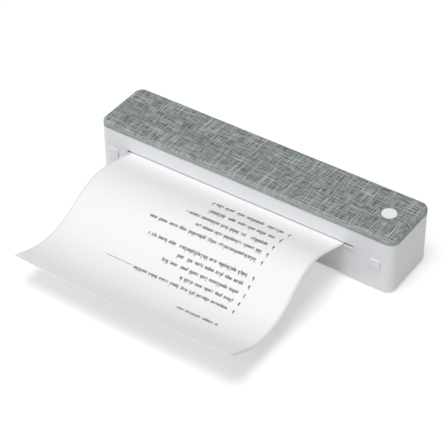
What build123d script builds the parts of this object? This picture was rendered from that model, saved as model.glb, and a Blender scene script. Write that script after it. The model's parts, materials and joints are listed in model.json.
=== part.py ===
from build123d import *
import math
import os

# A portable thermal printer for A4 paper. All lengths are in millimetres and all angles in degrees.
# +X runs along the body towards its button end, -Y is the front, where the paper comes out, and +Z is up.
# The origin lies on the surface that the printer stands on, under the middle of the body.

# ---------------------------------------------------------------- sizes that set the body
# The paper's width, the drive beside it and the body's walls give the length.
paper_width = 210.0
paper_thickness = 0.15
print_centre_x = -6.2
platen_overhang = 2.0
plate_clearance = 5.0
plate_thickness = 1.5
drive_side_clearance = 8.2
drive_depth = 10.5
motor_length = 16.0
motor_end_gap = 3.3
wall = 2.2

left_plate_x = print_centre_x - paper_width / 2 - platen_overhang - plate_clearance
right_plate_x = print_centre_x + paper_width / 2 + platen_overhang + drive_side_clearance
bracket_x = right_plate_x + plate_thickness + drive_depth
motor_x = bracket_x + plate_thickness
body_length = 2 * (motor_x + motor_length + motor_end_gap + wall)

# The platen behind the front face, the cradle behind the platen and the rear wall give the width.
platen_set_back = 14.0
platen_radius = 5.6
platen_to_cradle = 2.9
cradle_radius = 15.0
cradle_wall = 1.5
cradle_rear_gap = 0.3
front_leg_offset = 14.0
cell_radius = 9.1
cell_leg_gap = 0.4
tray_front_reach = 3.1

cradle_reach = cradle_radius + cradle_wall
body_width = platen_set_back + platen_radius + platen_to_cradle + 2 * cradle_reach + cradle_rear_gap + wall
cradle_y = body_width / 2 - wall - cradle_rear_gap - cradle_reach
platen_y = platen_set_back - body_width / 2
front_leg_y = cradle_y - front_leg_offset
cell_y = front_leg_y - cell_leg_gap - cell_radius
tray_front_y = cell_y - tray_front_reach

# The bottom cover, the board over it and the cradle over the board give the roll's height. The cells,
# the platen over them, the head on it and the room over the head give the height of the walls.
foot_height = 1.0
cover_thickness = 1.6
board_standoff = 2.0
board_thickness = 1.6
chip_room = 2.8
cell_floor_gap = 0.7
platen_over_cell = 0.9
nip_gap = 0.15
heater_height = 0.1
head_thickness = 1.0
sink_thickness = 3.2
room_over_head = 11.15

base_z = foot_height
cover_top_z = base_z + cover_thickness
board_z = cover_top_z + board_standoff
board_top_z = board_z + board_thickness
cradle_z = board_top_z + chip_room + cradle_reach
platen_z = cover_top_z + cell_floor_gap + 2 * cell_radius + platen_over_cell + platen_radius
paper_z = platen_z + platen_radius + nip_gap + paper_thickness / 2
head_face_z = paper_z + paper_thickness / 2 + nip_gap
substrate_z = head_face_z + heater_height
sink_z = substrate_z + head_thickness
sink_top_z = sink_z + sink_thickness
rim_z = sink_top_z + room_over_head

# ---------------------------------------------------------------- body
corner_radius = 8.0
base_edge_radius = 3.0
floor_thickness = 3.0

wall_height = rim_z - base_z
floor_z = base_z + floor_thickness
front_y = -body_width / 2
rear_y = body_width / 2
front_wall_y = front_y + wall
rear_wall_y = rear_y - wall
inner_length = body_length - 2 * wall
inner_width = body_width - 2 * wall
inner_radius = corner_radius - wall

# ---------------------------------------------------------------- bottom cover, feet and small screws
cover_end_margin = 15.0
opening_gap = 0.4
cover_corner = 4.0
cover_ledge = 5.0
cover_clearance = 0.2
cover_length = body_length - 2 * cover_end_margin
opening_length = cover_length - 2 * cover_ledge
opening_width = 2 * (opening_gap - tray_front_y)
cover_width = opening_width + 2 * cover_ledge

foot_recess = 0.8
foot_width = 9.0
foot_length = 38.0
foot_corner = 2.0
foot_edge = 0.3
foot_inset = 17.0
foot_pitch = cover_length / 2 - foot_inset

screw_radius = 1.0
screw_head_radius = 1.9
screw_head_height = 1.2
screw_length = 5.0
board_screw_length = 4.2
motor_screw_length = 3.0
liner_screw_length = 2.4
pilot_extra = 0.2
screw_clearance = 0.15
slot_cut_width = 0.5
slot_cut_depth = 0.5
boss_radius = 2.6
boss_height = 2.6
cover_screw_inset_x = 3.5
cover_screw_inset_y = 2.4
cover_screw_middle_x = 45.0

cover_screw_x = cover_length / 2 - cover_screw_inset_x
cover_screw_y = cover_width / 2 - cover_screw_inset_y

# ---------------------------------------------------------------- paper path, platen and print head
shaft_radius = 2.5
shaft_left_end = 0.8
shaft_right_end = 0.4
shaft_chamfer = 0.3
running_clearance = 0.05

platen_length = paper_width + 2 * platen_overhang

# The sheet as it leaves the slot: it bends up, runs straight, arches over, falls and curls up again.
web_bend_radius = 20.0
exit_bend_inset = 6.0
exit_bend_radius = 30.0
exit_bend_angle = 17.0
exit_run = 30.0
arch_radius = 48.0
fall_angle = 31.0
fall_run = 17.0
curl_radius = 58.0
curl_angle = 24.0
curl_run = 22.0

exit_bend_y = front_y + exit_bend_inset

# ---------------------------------------------------------------- paper slot
slot_offset = 2.2
slot_side_room = 6.5
slot_below = 0.45
slot_above = 1.5
slot_corner = 1.2
lip_height = 3.8
lip_proud = 0.3
lip_edge_radius = 0.7
lip_clearance = 0.1
lip_reach = 7.0
lip_flange_drop = 2.0
lip_flange_thickness = 1.5

slot_centre_x = print_centre_x + slot_offset
slot_width = paper_width + 2 * slot_side_room
lip_top_z = paper_z - paper_thickness / 2 - slot_below
lip_bottom_z = lip_top_z - lip_height
slot_top_z = paper_z + paper_thickness / 2 + slot_above

# ---------------------------------------------------------------- paper roll and its cradle
roll_radius = 13.0
core_radius = 8.0
core_wall = 1.5
cradle_rear_height = 6.0
seat_gap = 0.3
guide_rib_thickness = 1.5
guide_rib_rounding = 0.7
rib_drop = 0.1
leg_thickness = 1.3
leg_boss_gap = 1.2
roll_guide_thickness = 1.8
roll_guide_gap = 0.3
guide_clearance = 0.1
hub_length = 8.0
hub_clearance = 0.1

guide_rib_y = cradle_y - cradle_reach
rear_leg_y = cover_screw_y + boss_radius + leg_boss_gap
roll_z = cradle_z - cradle_radius + roll_radius + seat_gap
guide_rib_top_z = lip_top_z - rib_drop

# ---------------------------------------------------------------- side plates and drive
plate_height = 34.0
plate_margin_y = 5.0
plate_rear_gap = 1.0
plate_rear_slope = 8.0
plate_front_slope = 2.0
plate_notch_height = 5.5
bush_radius = 4.0
bush_flange_radius = 5.2
bush_flange = 0.8
bush_proud = 0.2

gear_module = 0.6
pressure_angle = 25.0
addendum = 0.85
dedendum = 1.2
backlash = 0.12
platen_teeth = 24
idler_small_teeth = 12
idler_large_teeth = 32
pinion_teeth = 10
idler_direction = -20.0
pinion_direction = 5.0
gear_face_width = 4.0
large_gear_width = 2.6
pinion_overhang = 0.2
gear_gap = 0.9
gear_step = 1.0
axle_radius = 1.5
motor_radius = 10.0
motor_boss_radius = 3.4
motor_shaft_radius = 1.0
motor_shaft_depth = 1.5
motor_shaft_end_gap = 0.5
motor_can_edge = 0.8
motor_ear_half_width = 2.6
motor_boss_clearance = 0.1
motor_ear_reach = 12.5
motor_ear_thickness = 1.2
post_radius = 2.0
bracket_margin = 1.0
bracket_corner = 1.5
rear_post_offset = (9.3, 4.6)
low_post_offset = (6.3, -11.4)
front_post_offset = (-9.65, -9.8)

cradle_length = right_plate_x - left_plate_x
first_gear_x = right_plate_x + plate_thickness + gear_gap
second_gear_x = first_gear_x + gear_face_width + gear_step
idler_distance = gear_module * (platen_teeth + idler_small_teeth) / 2
pinion_distance = gear_module * (idler_large_teeth + pinion_teeth) / 2
idler_y = platen_y + idler_distance * math.cos(math.radians(idler_direction))
idler_z = platen_z + idler_distance * math.sin(math.radians(idler_direction))
motor_y = idler_y + pinion_distance * math.cos(math.radians(pinion_direction))
motor_z = idler_z + pinion_distance * math.sin(math.radians(pinion_direction))
post_places = [
    (motor_y + rear_post_offset[0], motor_z + rear_post_offset[1]),
    (motor_y + low_post_offset[0], motor_z + low_post_offset[1]),
    (idler_y + front_post_offset[0], idler_z + front_post_offset[1]),
]

# ---------------------------------------------------------------- battery and electronics
cell_length = 65.0
cell_gap = 1.0
cell_edge = 0.8

tray_wall = 2.0
tray_clearance = 0.1
tray_past_plate = 13.6
tray_depth = 3.9
tray_rear_reach = 7.0
tray_to_board = 5.4

board_clearance = 0.5
board_front_reach = 11.0
board_rear_reach = 6.8
board_arm_width = 9.0
board_post_radius = 2.2
board_post_inset = 5.0
board_post_edge = 3.5
board_past_bracket = 1.6
socket_from_plate = 5.9
usb_width = 8.94
usb_height = 3.26
usb_length = 7.4
usb_shell = 0.35
usb_recess = 0.7
usb_clearance = 0.5
usb_tongue_width = 6.7
usb_tongue_height = 0.7
usb_tongue_recess = 0.6
usb_back = 1.2
ribbon_from_socket = 1.7

board_right_x = bracket_x + board_past_bracket
board_front_y = cradle_y - board_front_reach
board_rear_y = cradle_y + board_rear_reach
board_arm_end_y = rear_wall_y - board_clearance
cells_length = 2 * cell_length + cell_gap
cells_left_x = left_plate_x + tray_past_plate + tray_wall + tray_clearance
cells_centre_x = cells_left_x + cells_length / 2
board_left_x = cells_left_x + cells_length + tray_clearance + tray_wall + tray_to_board
cell_z = cover_top_z + cell_floor_gap + cell_radius
tray_top_z = cell_z - tray_depth
tray_rear_y = cell_y + tray_rear_reach
ribbon_start_y = rear_y - usb_recess - usb_length - ribbon_from_socket
usb_x = right_plate_x + plate_thickness + socket_from_plate
usb_z = board_top_z + usb_height / 2

ribbon_thickness = 0.3
ribbon_width = 7.4
ribbon_bend_radius = 3.0
motor_cable_inset = 3.0
cable_rise = 5.0
cable_lean = 45.0
cable_wall_gap = 0.6
cable_top_drop = 3.2
cable_notch_side = 0.8
cable_notch_depth = 3.6

# ---------------------------------------------------------------- lid
lid_gap = 0.1
lid_height = 6.5
trim_height = 0.5
fabric_thickness = 1.0
fabric_edge_radius = 3.2
lid_wall = 2.0
lid_top = 1.8
lip_gap = 0.5
lid_lip_thickness = 1.6
lid_lip_depth = 2.2
liner_thickness = 1.4
liner_gap = 0.2

lid_bottom_z = rim_z + lid_gap
top_z = rim_z + lid_height
frame_top_z = top_z - fabric_thickness
frame_under_z = frame_top_z - lid_top
liner_z = frame_under_z - liner_thickness
lid_lip_bottom_z = rim_z - lid_lip_depth
frame_length = body_length - 2 * fabric_thickness
frame_width = body_width - 2 * fabric_thickness
frame_corner = corner_radius - fabric_thickness
lid_lip_length = inner_length - 2 * lip_gap
lid_lip_width = inner_width - 2 * lip_gap
lid_lip_radius = inner_radius - lip_gap

hinge_offset = 2.5
hinge_drop = 0.6
hinge_inset = 59.0
knuckle_radius = 2.2
knuckle_length = 8.0
knuckle_gap = 0.3
hinge_pin_radius = 1.0
knuckle_gusset = 6.0
hinge_x = body_length / 2 - hinge_inset
hinge_y = rear_y + hinge_offset
hinge_z = rim_z - hinge_drop

liner_screw_inset_x = 20.0
liner_screw_inset_y = 11.0
liner_screw_x = body_length / 2 - liner_screw_inset_x
liner_screw_y = body_width / 2 - liner_screw_inset_y


# ---------------------------------------------------------------- print head, hung in the lid
head_width = 10.0
heater_width = 1.6
head_margin = 3.0
sink_front = 6.0
sink_rear = 6.0
fin_thickness = 1.0
fin_height = 2.8
fin_offsets = [-5.5, -3.8, 3.8]
pivot_offset = 12.5
pivot_height = 5.15
pivot_radius = 1.5
eye_radius = 3.2
arm_root = 1.0
hanger_thickness = 1.5
hanger_gap = 0.9
hanger_half_width = 4.0
hanger_foot = 9.0
rod_end = 0.8
spring_radius = 3.0
spring_wire = 0.6
spring_pitch_x = 75.0
spring_end_gap = 0.05
spring_post_radius = 2.0
spring_post_length = 3.0

head_length = paper_width + 2 * head_margin
pivot_y = platen_y + pivot_offset
pivot_z = sink_top_z + pivot_height

# ---------------------------------------------------------------- power button, in the lid
button_inset = 22.0
button_y = 0.0
button_radius = 6.5
button_clearance = 0.2
button_proud = 0.4
button_edge = 0.5
button_travel = 0.8
button_flange = 1.0
button_flange_thickness = 0.8
button_stem_radius = 1.5
button_stop_gap = 0.1
switch_size = 6.0
switch_height = 1.5
switch_plunger_radius = 1.6
switch_plunger_height = 0.6
switch_board_thickness = 1.2
switch_board_length = 24.0
switch_board_width = 14.0
switch_post_radius = 2.0
switch_post_edge = 0.5
switch_board_corner = 1.5
switch_chamfer = 0.5
switch_drop = 9.4
button_x = body_length / 2 - button_inset
switch_board_z = top_z - switch_drop
switch_top_z = switch_board_z + switch_board_thickness + switch_height + switch_plunger_height
button_stem_z = switch_top_z + button_travel + button_stop_gap

# ---------------------------------------------------------------- lid release tabs
tab_left_inset = 13.4
tab_right_inset = 17.0
tab_z = 26.2
tab_width = 11.0
tab_height = 9.6
tab_corner = 2.4
tab_edge = 0.4
tab_proud = 0.8
tab_clearance = 0.2
tab_flange = 0.9
tab_flange_thickness = 1.2
stem_width = 6.0
stem_height = 4.0
stem_length = 5.0
latch_arm_thickness = 2.0
nose_height = 2.4
nose_reach = 1.7
nose_gap = 0.3
nose_hook = 2.2
catch_width = 8.0
catch_thickness = 1.4
catch_inset = 0.9
catch_drop = 8.5
catch_window_margin = 0.6
tab_spring_radius = 2.2
tab_spring_length = 6.0
spring_post_thickness = 2.0
spring_post_width = 7.0

tab_left_x = tab_left_inset - body_length / 2
tab_right_x = body_length / 2 - tab_right_inset
catch_bottom_z = rim_z - catch_drop
nose_z = catch_bottom_z + nose_hook
tab_flange_y = front_wall_y + tab_clearance
stem_rear_y = tab_flange_y + tab_flange_thickness + stem_length
catch_front_y = front_wall_y + catch_inset
catch_rear_y = catch_front_y + catch_thickness
nose_tip_y = catch_rear_y + nose_gap
latch_arm_y = nose_tip_y + nose_reach
tab_spring_rear_y = stem_rear_y + tab_spring_length

connector_width = 9.4
connector_length = 6.0
connector_chamfer = 0.5
connector_height = 2.6
connector_from_rear = 14.0
connector_y = rear_y - connector_from_rear

sensor_length = 6.0
sensor_width = 2.4
sensor_height = 3.6
sensor_rounding = 0.4

parts = {}


def keep(part, name):
    """Names a finished piece and writes it."""
    part.label = name
    parts[name] = part
    export_step(part, f"parts/{name}.step")


def walk(start, heading, steps, side):
    """The corners of a strip's edge, `side` away from its middle line.

    A step is (length, 0) for a straight run or (radius, turn) for a bend. A positive turn is to the left."""
    y, z = start
    angle = math.radians(heading)
    pieces = []
    for size, turn in steps:
        first = (y - side * math.sin(angle), z + side * math.cos(angle))
        if turn == 0:
            y += size * math.cos(angle)
            z += size * math.sin(angle)
            last = (y - side * math.sin(angle), z + side * math.cos(angle))
            pieces.append((first, last))
            continue
        bend = math.copysign(1, turn)
        centre = (y - bend * size * math.sin(angle), z + bend * size * math.cos(angle))
        around = []
        for share in (0.5, 1.0):
            there = angle + share * math.radians(turn)
            reach = size - bend * side
            place_y = centre[0] + bend * reach * math.sin(there)
            place_z = centre[1] - bend * reach * math.cos(there)
            around.append((place_y, place_z))
        angle += math.radians(turn)
        y = centre[0] + bend * size * math.sin(angle)
        z = centre[1] - bend * size * math.cos(angle)
        pieces.append((first, around[0], around[1]))
    return pieces


def strip(plane, start, heading, steps, thickness):
    """A sketch of a bent strip of even thickness, seen from its edge."""
    with BuildSketch(plane) as section:
        with BuildLine():
            edges = {}
            for side in (thickness / 2, -thickness / 2):
                edges[side] = walk(start, heading, steps, side)
                for piece in edges[side]:
                    if len(piece) == 2:
                        Line(*piece)
                    else:
                        ThreePointArc(*piece)
            upper, lower = edges[thickness / 2], edges[-thickness / 2]
            Line(upper[0][0], lower[0][0])
            Line(upper[-1][-1], lower[-1][-1])
        make_face()
    return section.sketch


def gear_sketch(plane, teeth, centre, tooth_direction):
    """A spur wheel with one tooth pointing in tooth_direction. Each involute flank is drawn as one arc."""
    pitch_radius = gear_module * teeth / 2
    base_radius = pitch_radius * math.cos(math.radians(pressure_angle))
    tip_radius = pitch_radius + addendum * gear_module
    root_radius = pitch_radius - dedendum * gear_module

    def involute(radius):
        angle = math.acos(min(1.0, base_radius / radius))
        return math.tan(angle) - angle

    def half_angle(radius):
        at_pitch = math.pi / (2 * teeth) - backlash / (2 * pitch_radius)
        return at_pitch + involute(pitch_radius) - involute(max(radius, base_radius))

    def point(radius, angle):
        return (centre[0] + radius * math.cos(angle), centre[1] + radius * math.sin(angle))

    flank_start = max(base_radius, root_radius)
    flank_middle = (flank_start + tip_radius) / 2
    pitch_angle = 2 * math.pi / teeth
    with BuildSketch(plane) as wheel:
        with BuildLine():
            for tooth in range(teeth):
                middle = math.radians(tooth_direction) + tooth * pitch_angle
                radii = (flank_start, flank_middle, tip_radius)
                low = {r: point(r, middle - half_angle(r)) for r in radii}
                high = {r: point(r, middle + half_angle(r)) for r in radii}
                root_low = point(root_radius, middle - half_angle(root_radius))
                root_high = point(root_radius, middle + half_angle(root_radius))
                if root_radius < flank_start:
                    Line(root_low, low[flank_start])
                    Line(root_high, high[flank_start])
                ThreePointArc(low[flank_start], low[flank_middle], low[tip_radius])
                ThreePointArc(low[tip_radius], point(tip_radius, middle), high[tip_radius])
                ThreePointArc(high[tip_radius], high[flank_middle], high[flank_start])
                next_low = point(root_radius, middle + pitch_angle - half_angle(root_radius))
                ThreePointArc(root_high, point(root_radius, middle + pitch_angle / 2), next_low)
        make_face()
    return wheel.sketch


def screw_group(seat, places, length):
    """Small pan-head screws whose heads stand on the seat plane, each with a straight driver slot."""
    with BuildPart() as screws:
        with BuildSketch(seat):
            with Locations(*places):
                Circle(screw_head_radius)
        extrude(amount=screw_head_height)
        with BuildSketch(seat):
            with Locations(*places):
                Circle(screw_radius)
        extrude(amount=-length)
        with BuildSketch(seat.offset(screw_head_height - slot_cut_depth)):
            with Locations(*places):
                Rectangle(2 * screw_head_radius, slot_cut_width)
        extrude(amount=slot_cut_depth, mode=Mode.SUBTRACT)
    return screws.part


def front_plane(y):
    """A plane across the printer at y whose normal points out of the front."""
    return Plane.XZ.offset(-y)


def side_plane(x):
    """A plane across the printer's length at x, whose own axes are Y and Z."""
    return Plane.YZ.offset(x)


underside = Plane(origin=(0, 0, base_z), x_dir=(1, 0, 0), z_dir=(0, 0, -1))
cover_screws_at = [
    (x, y)
    for x in (-cover_screw_x, cover_screw_x)
    for y in (-cover_screw_y, cover_screw_y)
]
cover_screws_at += [(x, cover_screw_y) for x in (-cover_screw_middle_x, cover_screw_middle_x)]


# ================================================================ housing
def make_base_tub():
    with BuildPart() as base_tub:
        with BuildSketch(Plane.XY.offset(base_z)):
            RectangleRounded(body_length, body_width, corner_radius)
        extrude(amount=wall_height)
        fillet(base_tub.edges().group_by(Axis.Z)[0], base_edge_radius)
        with BuildSketch(Plane.XY.offset(floor_z)):
            RectangleRounded(inner_length, inner_width, inner_radius)
        extrude(amount=wall_height, mode=Mode.SUBTRACT)
        with BuildSketch(Plane.XY.offset(base_z)):
            side = 2 * cover_clearance
            RectangleRounded(cover_length + side, cover_width + side, cover_corner + cover_clearance)
        extrude(amount=cover_thickness, mode=Mode.SUBTRACT)
        with BuildSketch(Plane.XY.offset(base_z)):
            RectangleRounded(opening_length, opening_width, cover_corner)
        extrude(amount=floor_thickness, mode=Mode.SUBTRACT)
        with BuildSketch(Plane.XY.offset(cover_top_z)):
            with Locations(*cover_screws_at):
                Circle(boss_radius)
        extrude(amount=floor_thickness - cover_thickness + boss_height)
        with BuildSketch(front_plane(front_y)):
            with Locations((slot_centre_x, (lip_bottom_z + slot_top_z) / 2)):
                RectangleRounded(slot_width, slot_top_z - lip_bottom_z, slot_corner)
            with Locations((tab_left_x, tab_z), (tab_right_x, tab_z)):
                side = 2 * tab_clearance
                RectangleRounded(tab_width + side, tab_height + side, tab_corner + tab_clearance)
        extrude(amount=-wall, mode=Mode.SUBTRACT)
        with BuildSketch(front_plane(rear_y)):
            with Locations((usb_x, usb_z)):
                side = 2 * usb_clearance
                SlotOverall(usb_width + side, usb_height + side)
        extrude(amount=wall, mode=Mode.SUBTRACT)
        with BuildSketch(Plane.XY.offset(floor_z)):
            post_y = tab_spring_rear_y + spring_post_thickness / 2
            with Locations((tab_left_x, post_y), (tab_right_x, post_y)):
                Rectangle(spring_post_width, spring_post_thickness)
        extrude(amount=tab_z + stem_height / 2 - floor_z)
        for centre in (-hinge_x, hinge_x):
            for side in (-1, 1):
                low = centre + side * (knuckle_length + knuckle_gap) - knuckle_length / 2
                add_base_knuckle(low)
        with BuildSketch(Plane.XY.offset(base_z)):
            with Locations(*cover_screws_at):
                Circle(screw_radius)
        extrude(amount=screw_length + pilot_extra, mode=Mode.SUBTRACT)
    keep(base_tub.part, "base_tub")


def add_base_knuckle(low_x):
    """One hinge knuckle of the body, from low_x on, with the gusset that carries it on the rear wall."""
    with BuildSketch(side_plane(low_x)) as knuckle:
        with BuildLine():
            Polyline(
                (rear_y - wall / 2, hinge_z),
                (hinge_y, hinge_z),
                (hinge_y + knuckle_radius * 0.7, hinge_z - knuckle_radius * 0.7),
                (rear_y, hinge_z - knuckle_gusset),
                (rear_y - wall / 2, hinge_z - knuckle_gusset),
                close=True,
            )
        make_face()
        with Locations((hinge_y, hinge_z)):
            Circle(knuckle_radius)
            Circle(hinge_pin_radius, mode=Mode.SUBTRACT)
    extrude(knuckle.sketch, amount=knuckle_length)


def make_bottom_cover():
    with BuildPart() as bottom_cover:
        with BuildSketch(Plane.XY.offset(base_z)):
            RectangleRounded(cover_length, cover_width, cover_corner)
        extrude(amount=cover_thickness)
        with BuildSketch(Plane.XY.offset(cover_top_z)):
            with Locations(*board_posts_at):
                Circle(board_post_radius)
        extrude(amount=board_standoff)
        with BuildSketch(Plane.XY.offset(base_z)):
            with GridLocations(foot_pitch, 0, 3, 1):
                RectangleRounded(foot_width, foot_length, foot_corner)
        extrude(amount=foot_recess, mode=Mode.SUBTRACT)
        with BuildSketch(Plane.XY.offset(base_z)):
            with Locations(*cover_screws_at):
                Circle(screw_radius + screw_clearance)
        extrude(amount=cover_thickness, mode=Mode.SUBTRACT)
        with Locations(underside):
            with Locations(*[(x, -y) for x, y in cover_screws_at]):
                cone_height = screw_head_radius - screw_radius
                with Locations((0, 0, -cone_height / 2)):
                    Cone(
                        screw_radius + screw_clearance,
                        screw_head_radius + screw_clearance,
                        cone_height,
                        mode=Mode.SUBTRACT,
                    )
        with BuildSketch(Plane.XY.offset(board_z)):
            with Locations(*board_posts_at):
                Circle(screw_radius)
        extrude(amount=-(board_screw_length - board_thickness + pilot_extra), mode=Mode.SUBTRACT)
    keep(bottom_cover.part, "bottom_cover")


def make_foot_strips():
    with BuildPart() as foot_strips:
        with BuildSketch():
            with GridLocations(foot_pitch, 0, 3, 1):
                RectangleRounded(foot_width, foot_length, foot_corner)
        extrude(amount=foot_height + foot_recess)
        fillet(foot_strips.edges().group_by(Axis.Z)[0], foot_edge)
    keep(foot_strips.part, "foot_strips")


def make_cover_screws():
    """Countersunk screws, flush with the cover's underside."""
    cone_height = screw_head_radius - screw_radius
    with BuildPart() as cover_screws:
        with Locations(underside):
            with Locations(*[(x, -y) for x, y in cover_screws_at]):
                with Locations((0, 0, -cone_height / 2)):
                    Cone(screw_radius, screw_head_radius, cone_height)
        with BuildSketch(Plane.XY.offset(base_z)):
            with Locations(*cover_screws_at):
                Circle(screw_radius)
        extrude(amount=screw_length)
        with BuildSketch(Plane.XY.offset(base_z)):
            with Locations(*cover_screws_at):
                Rectangle(1.5 * screw_head_radius, slot_cut_width)
                Rectangle(slot_cut_width, 1.5 * screw_head_radius)
        extrude(amount=slot_cut_depth, mode=Mode.SUBTRACT)
    keep(cover_screws.part, "cover_screws")


def make_exit_guide():
    """The moulded lower lip of the paper slot, clipped into the front wall's window."""
    lip_width = slot_width - 2 * lip_clearance
    lip_front_y = front_y - lip_proud
    with BuildPart() as exit_guide:
        with BuildSketch(front_plane(lip_front_y)):
            with Locations((slot_centre_x, (lip_bottom_z + lip_clearance + lip_top_z) / 2)):
                RectangleRounded(lip_width, lip_height - lip_clearance, slot_corner)
        extrude(amount=-(wall + lip_proud + lip_flange_thickness))
        front_edges = exit_guide.edges().filter_by(Axis.X).group_by(Axis.Y)[0]
        fillet(front_edges.sort_by(Axis.Z)[-1:], lip_edge_radius)
        with BuildSketch(side_plane(slot_centre_x - lip_width / 2)):
            with BuildLine():
                inside_y = front_wall_y + lip_clearance
                Polyline(
                    (inside_y, lip_bottom_z - lip_flange_drop),
                    (inside_y + lip_flange_thickness, lip_bottom_z - lip_flange_drop),
                    (inside_y + lip_flange_thickness, lip_top_z - lip_height / 2),
                    (lip_front_y + lip_reach, lip_top_z - lip_flange_thickness),
                    (lip_front_y + lip_reach, lip_top_z),
                    (inside_y, lip_top_z),
                    close=True,
                )
            make_face()
        extrude(amount=lip_width)
    keep(exit_guide.part, "exit_guide")


# ================================================================ paper, roll and cradle
def make_roll_cradle():
    """The trough that the roll lies in, with the rib that lifts the web and the two legs that carry it."""
    with BuildPart() as roll_cradle:
        with BuildSketch(side_plane(left_plate_x)):
            with Locations((cradle_y, cradle_z)):
                Circle(cradle_reach)
            with Locations((front_leg_y + leg_thickness / 2, cover_top_z)):
                Rectangle(leg_thickness, cradle_z - cover_top_z, align=(Align.CENTER, Align.MIN))
            with Locations((rear_leg_y + leg_thickness / 2, floor_z)):
                Rectangle(leg_thickness, cradle_z - floor_z, align=(Align.CENTER, Align.MIN))
            with Locations((cradle_y, cradle_z)):
                Circle(cradle_radius, mode=Mode.SUBTRACT)
                upper_half = (2 * cradle_reach, 2 * cradle_reach)
                Rectangle(*upper_half, align=(Align.CENTER, Align.MIN), mode=Mode.SUBTRACT)
            with Locations((guide_rib_y, cradle_z)):
                Rectangle(guide_rib_thickness, guide_rib_top_z - cradle_z, align=(Align.MIN, Align.MIN))
            with Locations((cradle_y + cradle_reach, cradle_z)):
                Rectangle(cradle_wall, cradle_rear_height, align=(Align.MAX, Align.MIN))
        extrude(amount=cradle_length)
        rib_top = roll_cradle.edges().filter_by(Axis.X).group_by(Axis.Z)[-1]
        fillet(rib_top, guide_rib_rounding)
    keep(roll_cradle.part, "roll_cradle")


def make_roll_guide(name, face_x, side):
    """A round end cheek that stands in the cradle and carries one end of the roll's core on a hub."""
    with BuildPart() as roll_guide:
        with BuildSketch(side_plane(face_x)):
            with Locations((cradle_y, cradle_z)):
                Circle(cradle_radius - guide_clearance)
            with Locations((cradle_y, cradle_z + cradle_radius)):
                Rectangle(3 * cradle_radius, 2 * (cradle_radius - cradle_rear_height), mode=Mode.SUBTRACT)
        extrude(amount=-side * roll_guide_thickness)
        with BuildSketch(side_plane(face_x)):
            with Locations((cradle_y, roll_z)):
                Circle(core_radius - core_wall - hub_clearance)
        extrude(amount=side * hub_length)
        with BuildSketch(side_plane(face_x + side * hub_length)):
            with Locations((cradle_y, roll_z)):
                Circle(core_radius - 2 * core_wall - hub_clearance)
        extrude(amount=-side * (hub_length - roll_guide_thickness), mode=Mode.SUBTRACT)
    keep(roll_guide.part, name)


def make_roll():
    left = print_centre_x - paper_width / 2
    with BuildPart() as paper_roll:
        with BuildSketch(side_plane(left)):
            with Locations((cradle_y, roll_z)):
                Circle(roll_radius)
                Circle(core_radius, mode=Mode.SUBTRACT)
        extrude(amount=paper_width)
    keep(paper_roll.part, "paper_roll")
    with BuildPart() as roll_core:
        with BuildSketch(side_plane(left)):
            with Locations((cradle_y, roll_z)):
                Circle(core_radius)
                Circle(core_radius - core_wall, mode=Mode.SUBTRACT)
        extrude(amount=paper_width)
    keep(roll_core.part, "roll_core")


def make_paper_sheet():
    """The web from the top of the roll over the platen, and the sheet that has come out of the slot."""
    bend_y = guide_rib_y
    reach = roll_radius + seat_gap + paper_thickness / 2
    away_y = bend_y - cradle_y
    away_z = paper_z - roll_z
    distance = math.hypot(away_y, away_z)
    tangent_angle = math.atan2(away_z, away_y) - math.acos(reach / distance)
    web_start = (cradle_y + reach * math.cos(tangent_angle), roll_z + reach * math.sin(tangent_angle))
    web_run = math.sqrt(distance**2 - reach**2)
    web_heading = math.degrees(tangent_angle) + 90
    web_turn = 180 - web_heading
    lost = web_bend_radius * math.tan(math.radians(abs(web_turn) / 2))
    steps = [
        (web_run - lost, 0),
        (web_bend_radius, web_turn),
        (bend_y - exit_bend_y - lost, 0),
        (exit_bend_radius, -exit_bend_angle),
        (exit_run, 0),
        (arch_radius, exit_bend_angle + fall_angle),
        (fall_run, 0),
        (curl_radius, -(fall_angle + curl_angle)),
        (curl_run, 0),
    ]
    plane = side_plane(print_centre_x - paper_width / 2)
    with BuildPart() as paper_sheet:
        extrude(strip(plane, web_start, web_heading, steps, paper_thickness), amount=paper_width)
    keep(paper_sheet.part, "paper_sheet")
    flat = sum(size if turn == 0 else size * abs(math.radians(turn)) for size, turn in steps)
    print("flat length of the sheet from roll to front edge", round(flat, 1))


def make_paper_sensor():
    with BuildPart() as paper_sensor:
        with BuildSketch(Plane.XY.offset(guide_rib_top_z - sensor_height)):
            with Locations((print_centre_x, guide_rib_y)):
                Rectangle(sensor_length, sensor_width, align=(Align.CENTER, Align.MAX))
        extrude(amount=sensor_height)
        fillet(paper_sensor.edges().filter_by(Axis.X).group_by(Axis.Z)[-1], sensor_rounding)
    keep(paper_sensor.part, "paper_sensor")


# ================================================================ side plates, platen and drive
def make_side_plate(name, x, with_drive):
    """A steel end plate: it stands on the floor and holds the cradle, the platen's bush and the drive."""
    front = front_wall_y + plate_margin_y
    rear = rear_wall_y - plate_rear_gap
    bottom = floor_z
    with BuildPart() as side_plate:
        with BuildSketch(side_plane(x)):
            with BuildLine():
                Polyline(
                    (front, bottom),
                    (rear, bottom),
                    (rear, bottom + plate_height - plate_rear_slope),
                    (rear - plate_rear_slope, bottom + plate_height),
                    (front + plate_front_slope, bottom + plate_height),
                    (front, bottom + plate_height - plate_front_slope),
                    close=True,
                )
            make_face()
            with Locations((platen_y, platen_z)):
                Circle(bush_radius, mode=Mode.SUBTRACT)
            with Locations(((board_front_y + board_rear_y) / 2, bottom)):
                notch = board_rear_y - board_front_y + 2 * board_clearance
                Rectangle(notch, plate_notch_height, align=(Align.CENTER, Align.MIN), mode=Mode.SUBTRACT)
            if with_drive:
                with Locations((idler_y, idler_z)):
                    Circle(axle_radius, mode=Mode.SUBTRACT)
        extrude(amount=plate_thickness)
    keep(side_plate.part, name)


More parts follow.
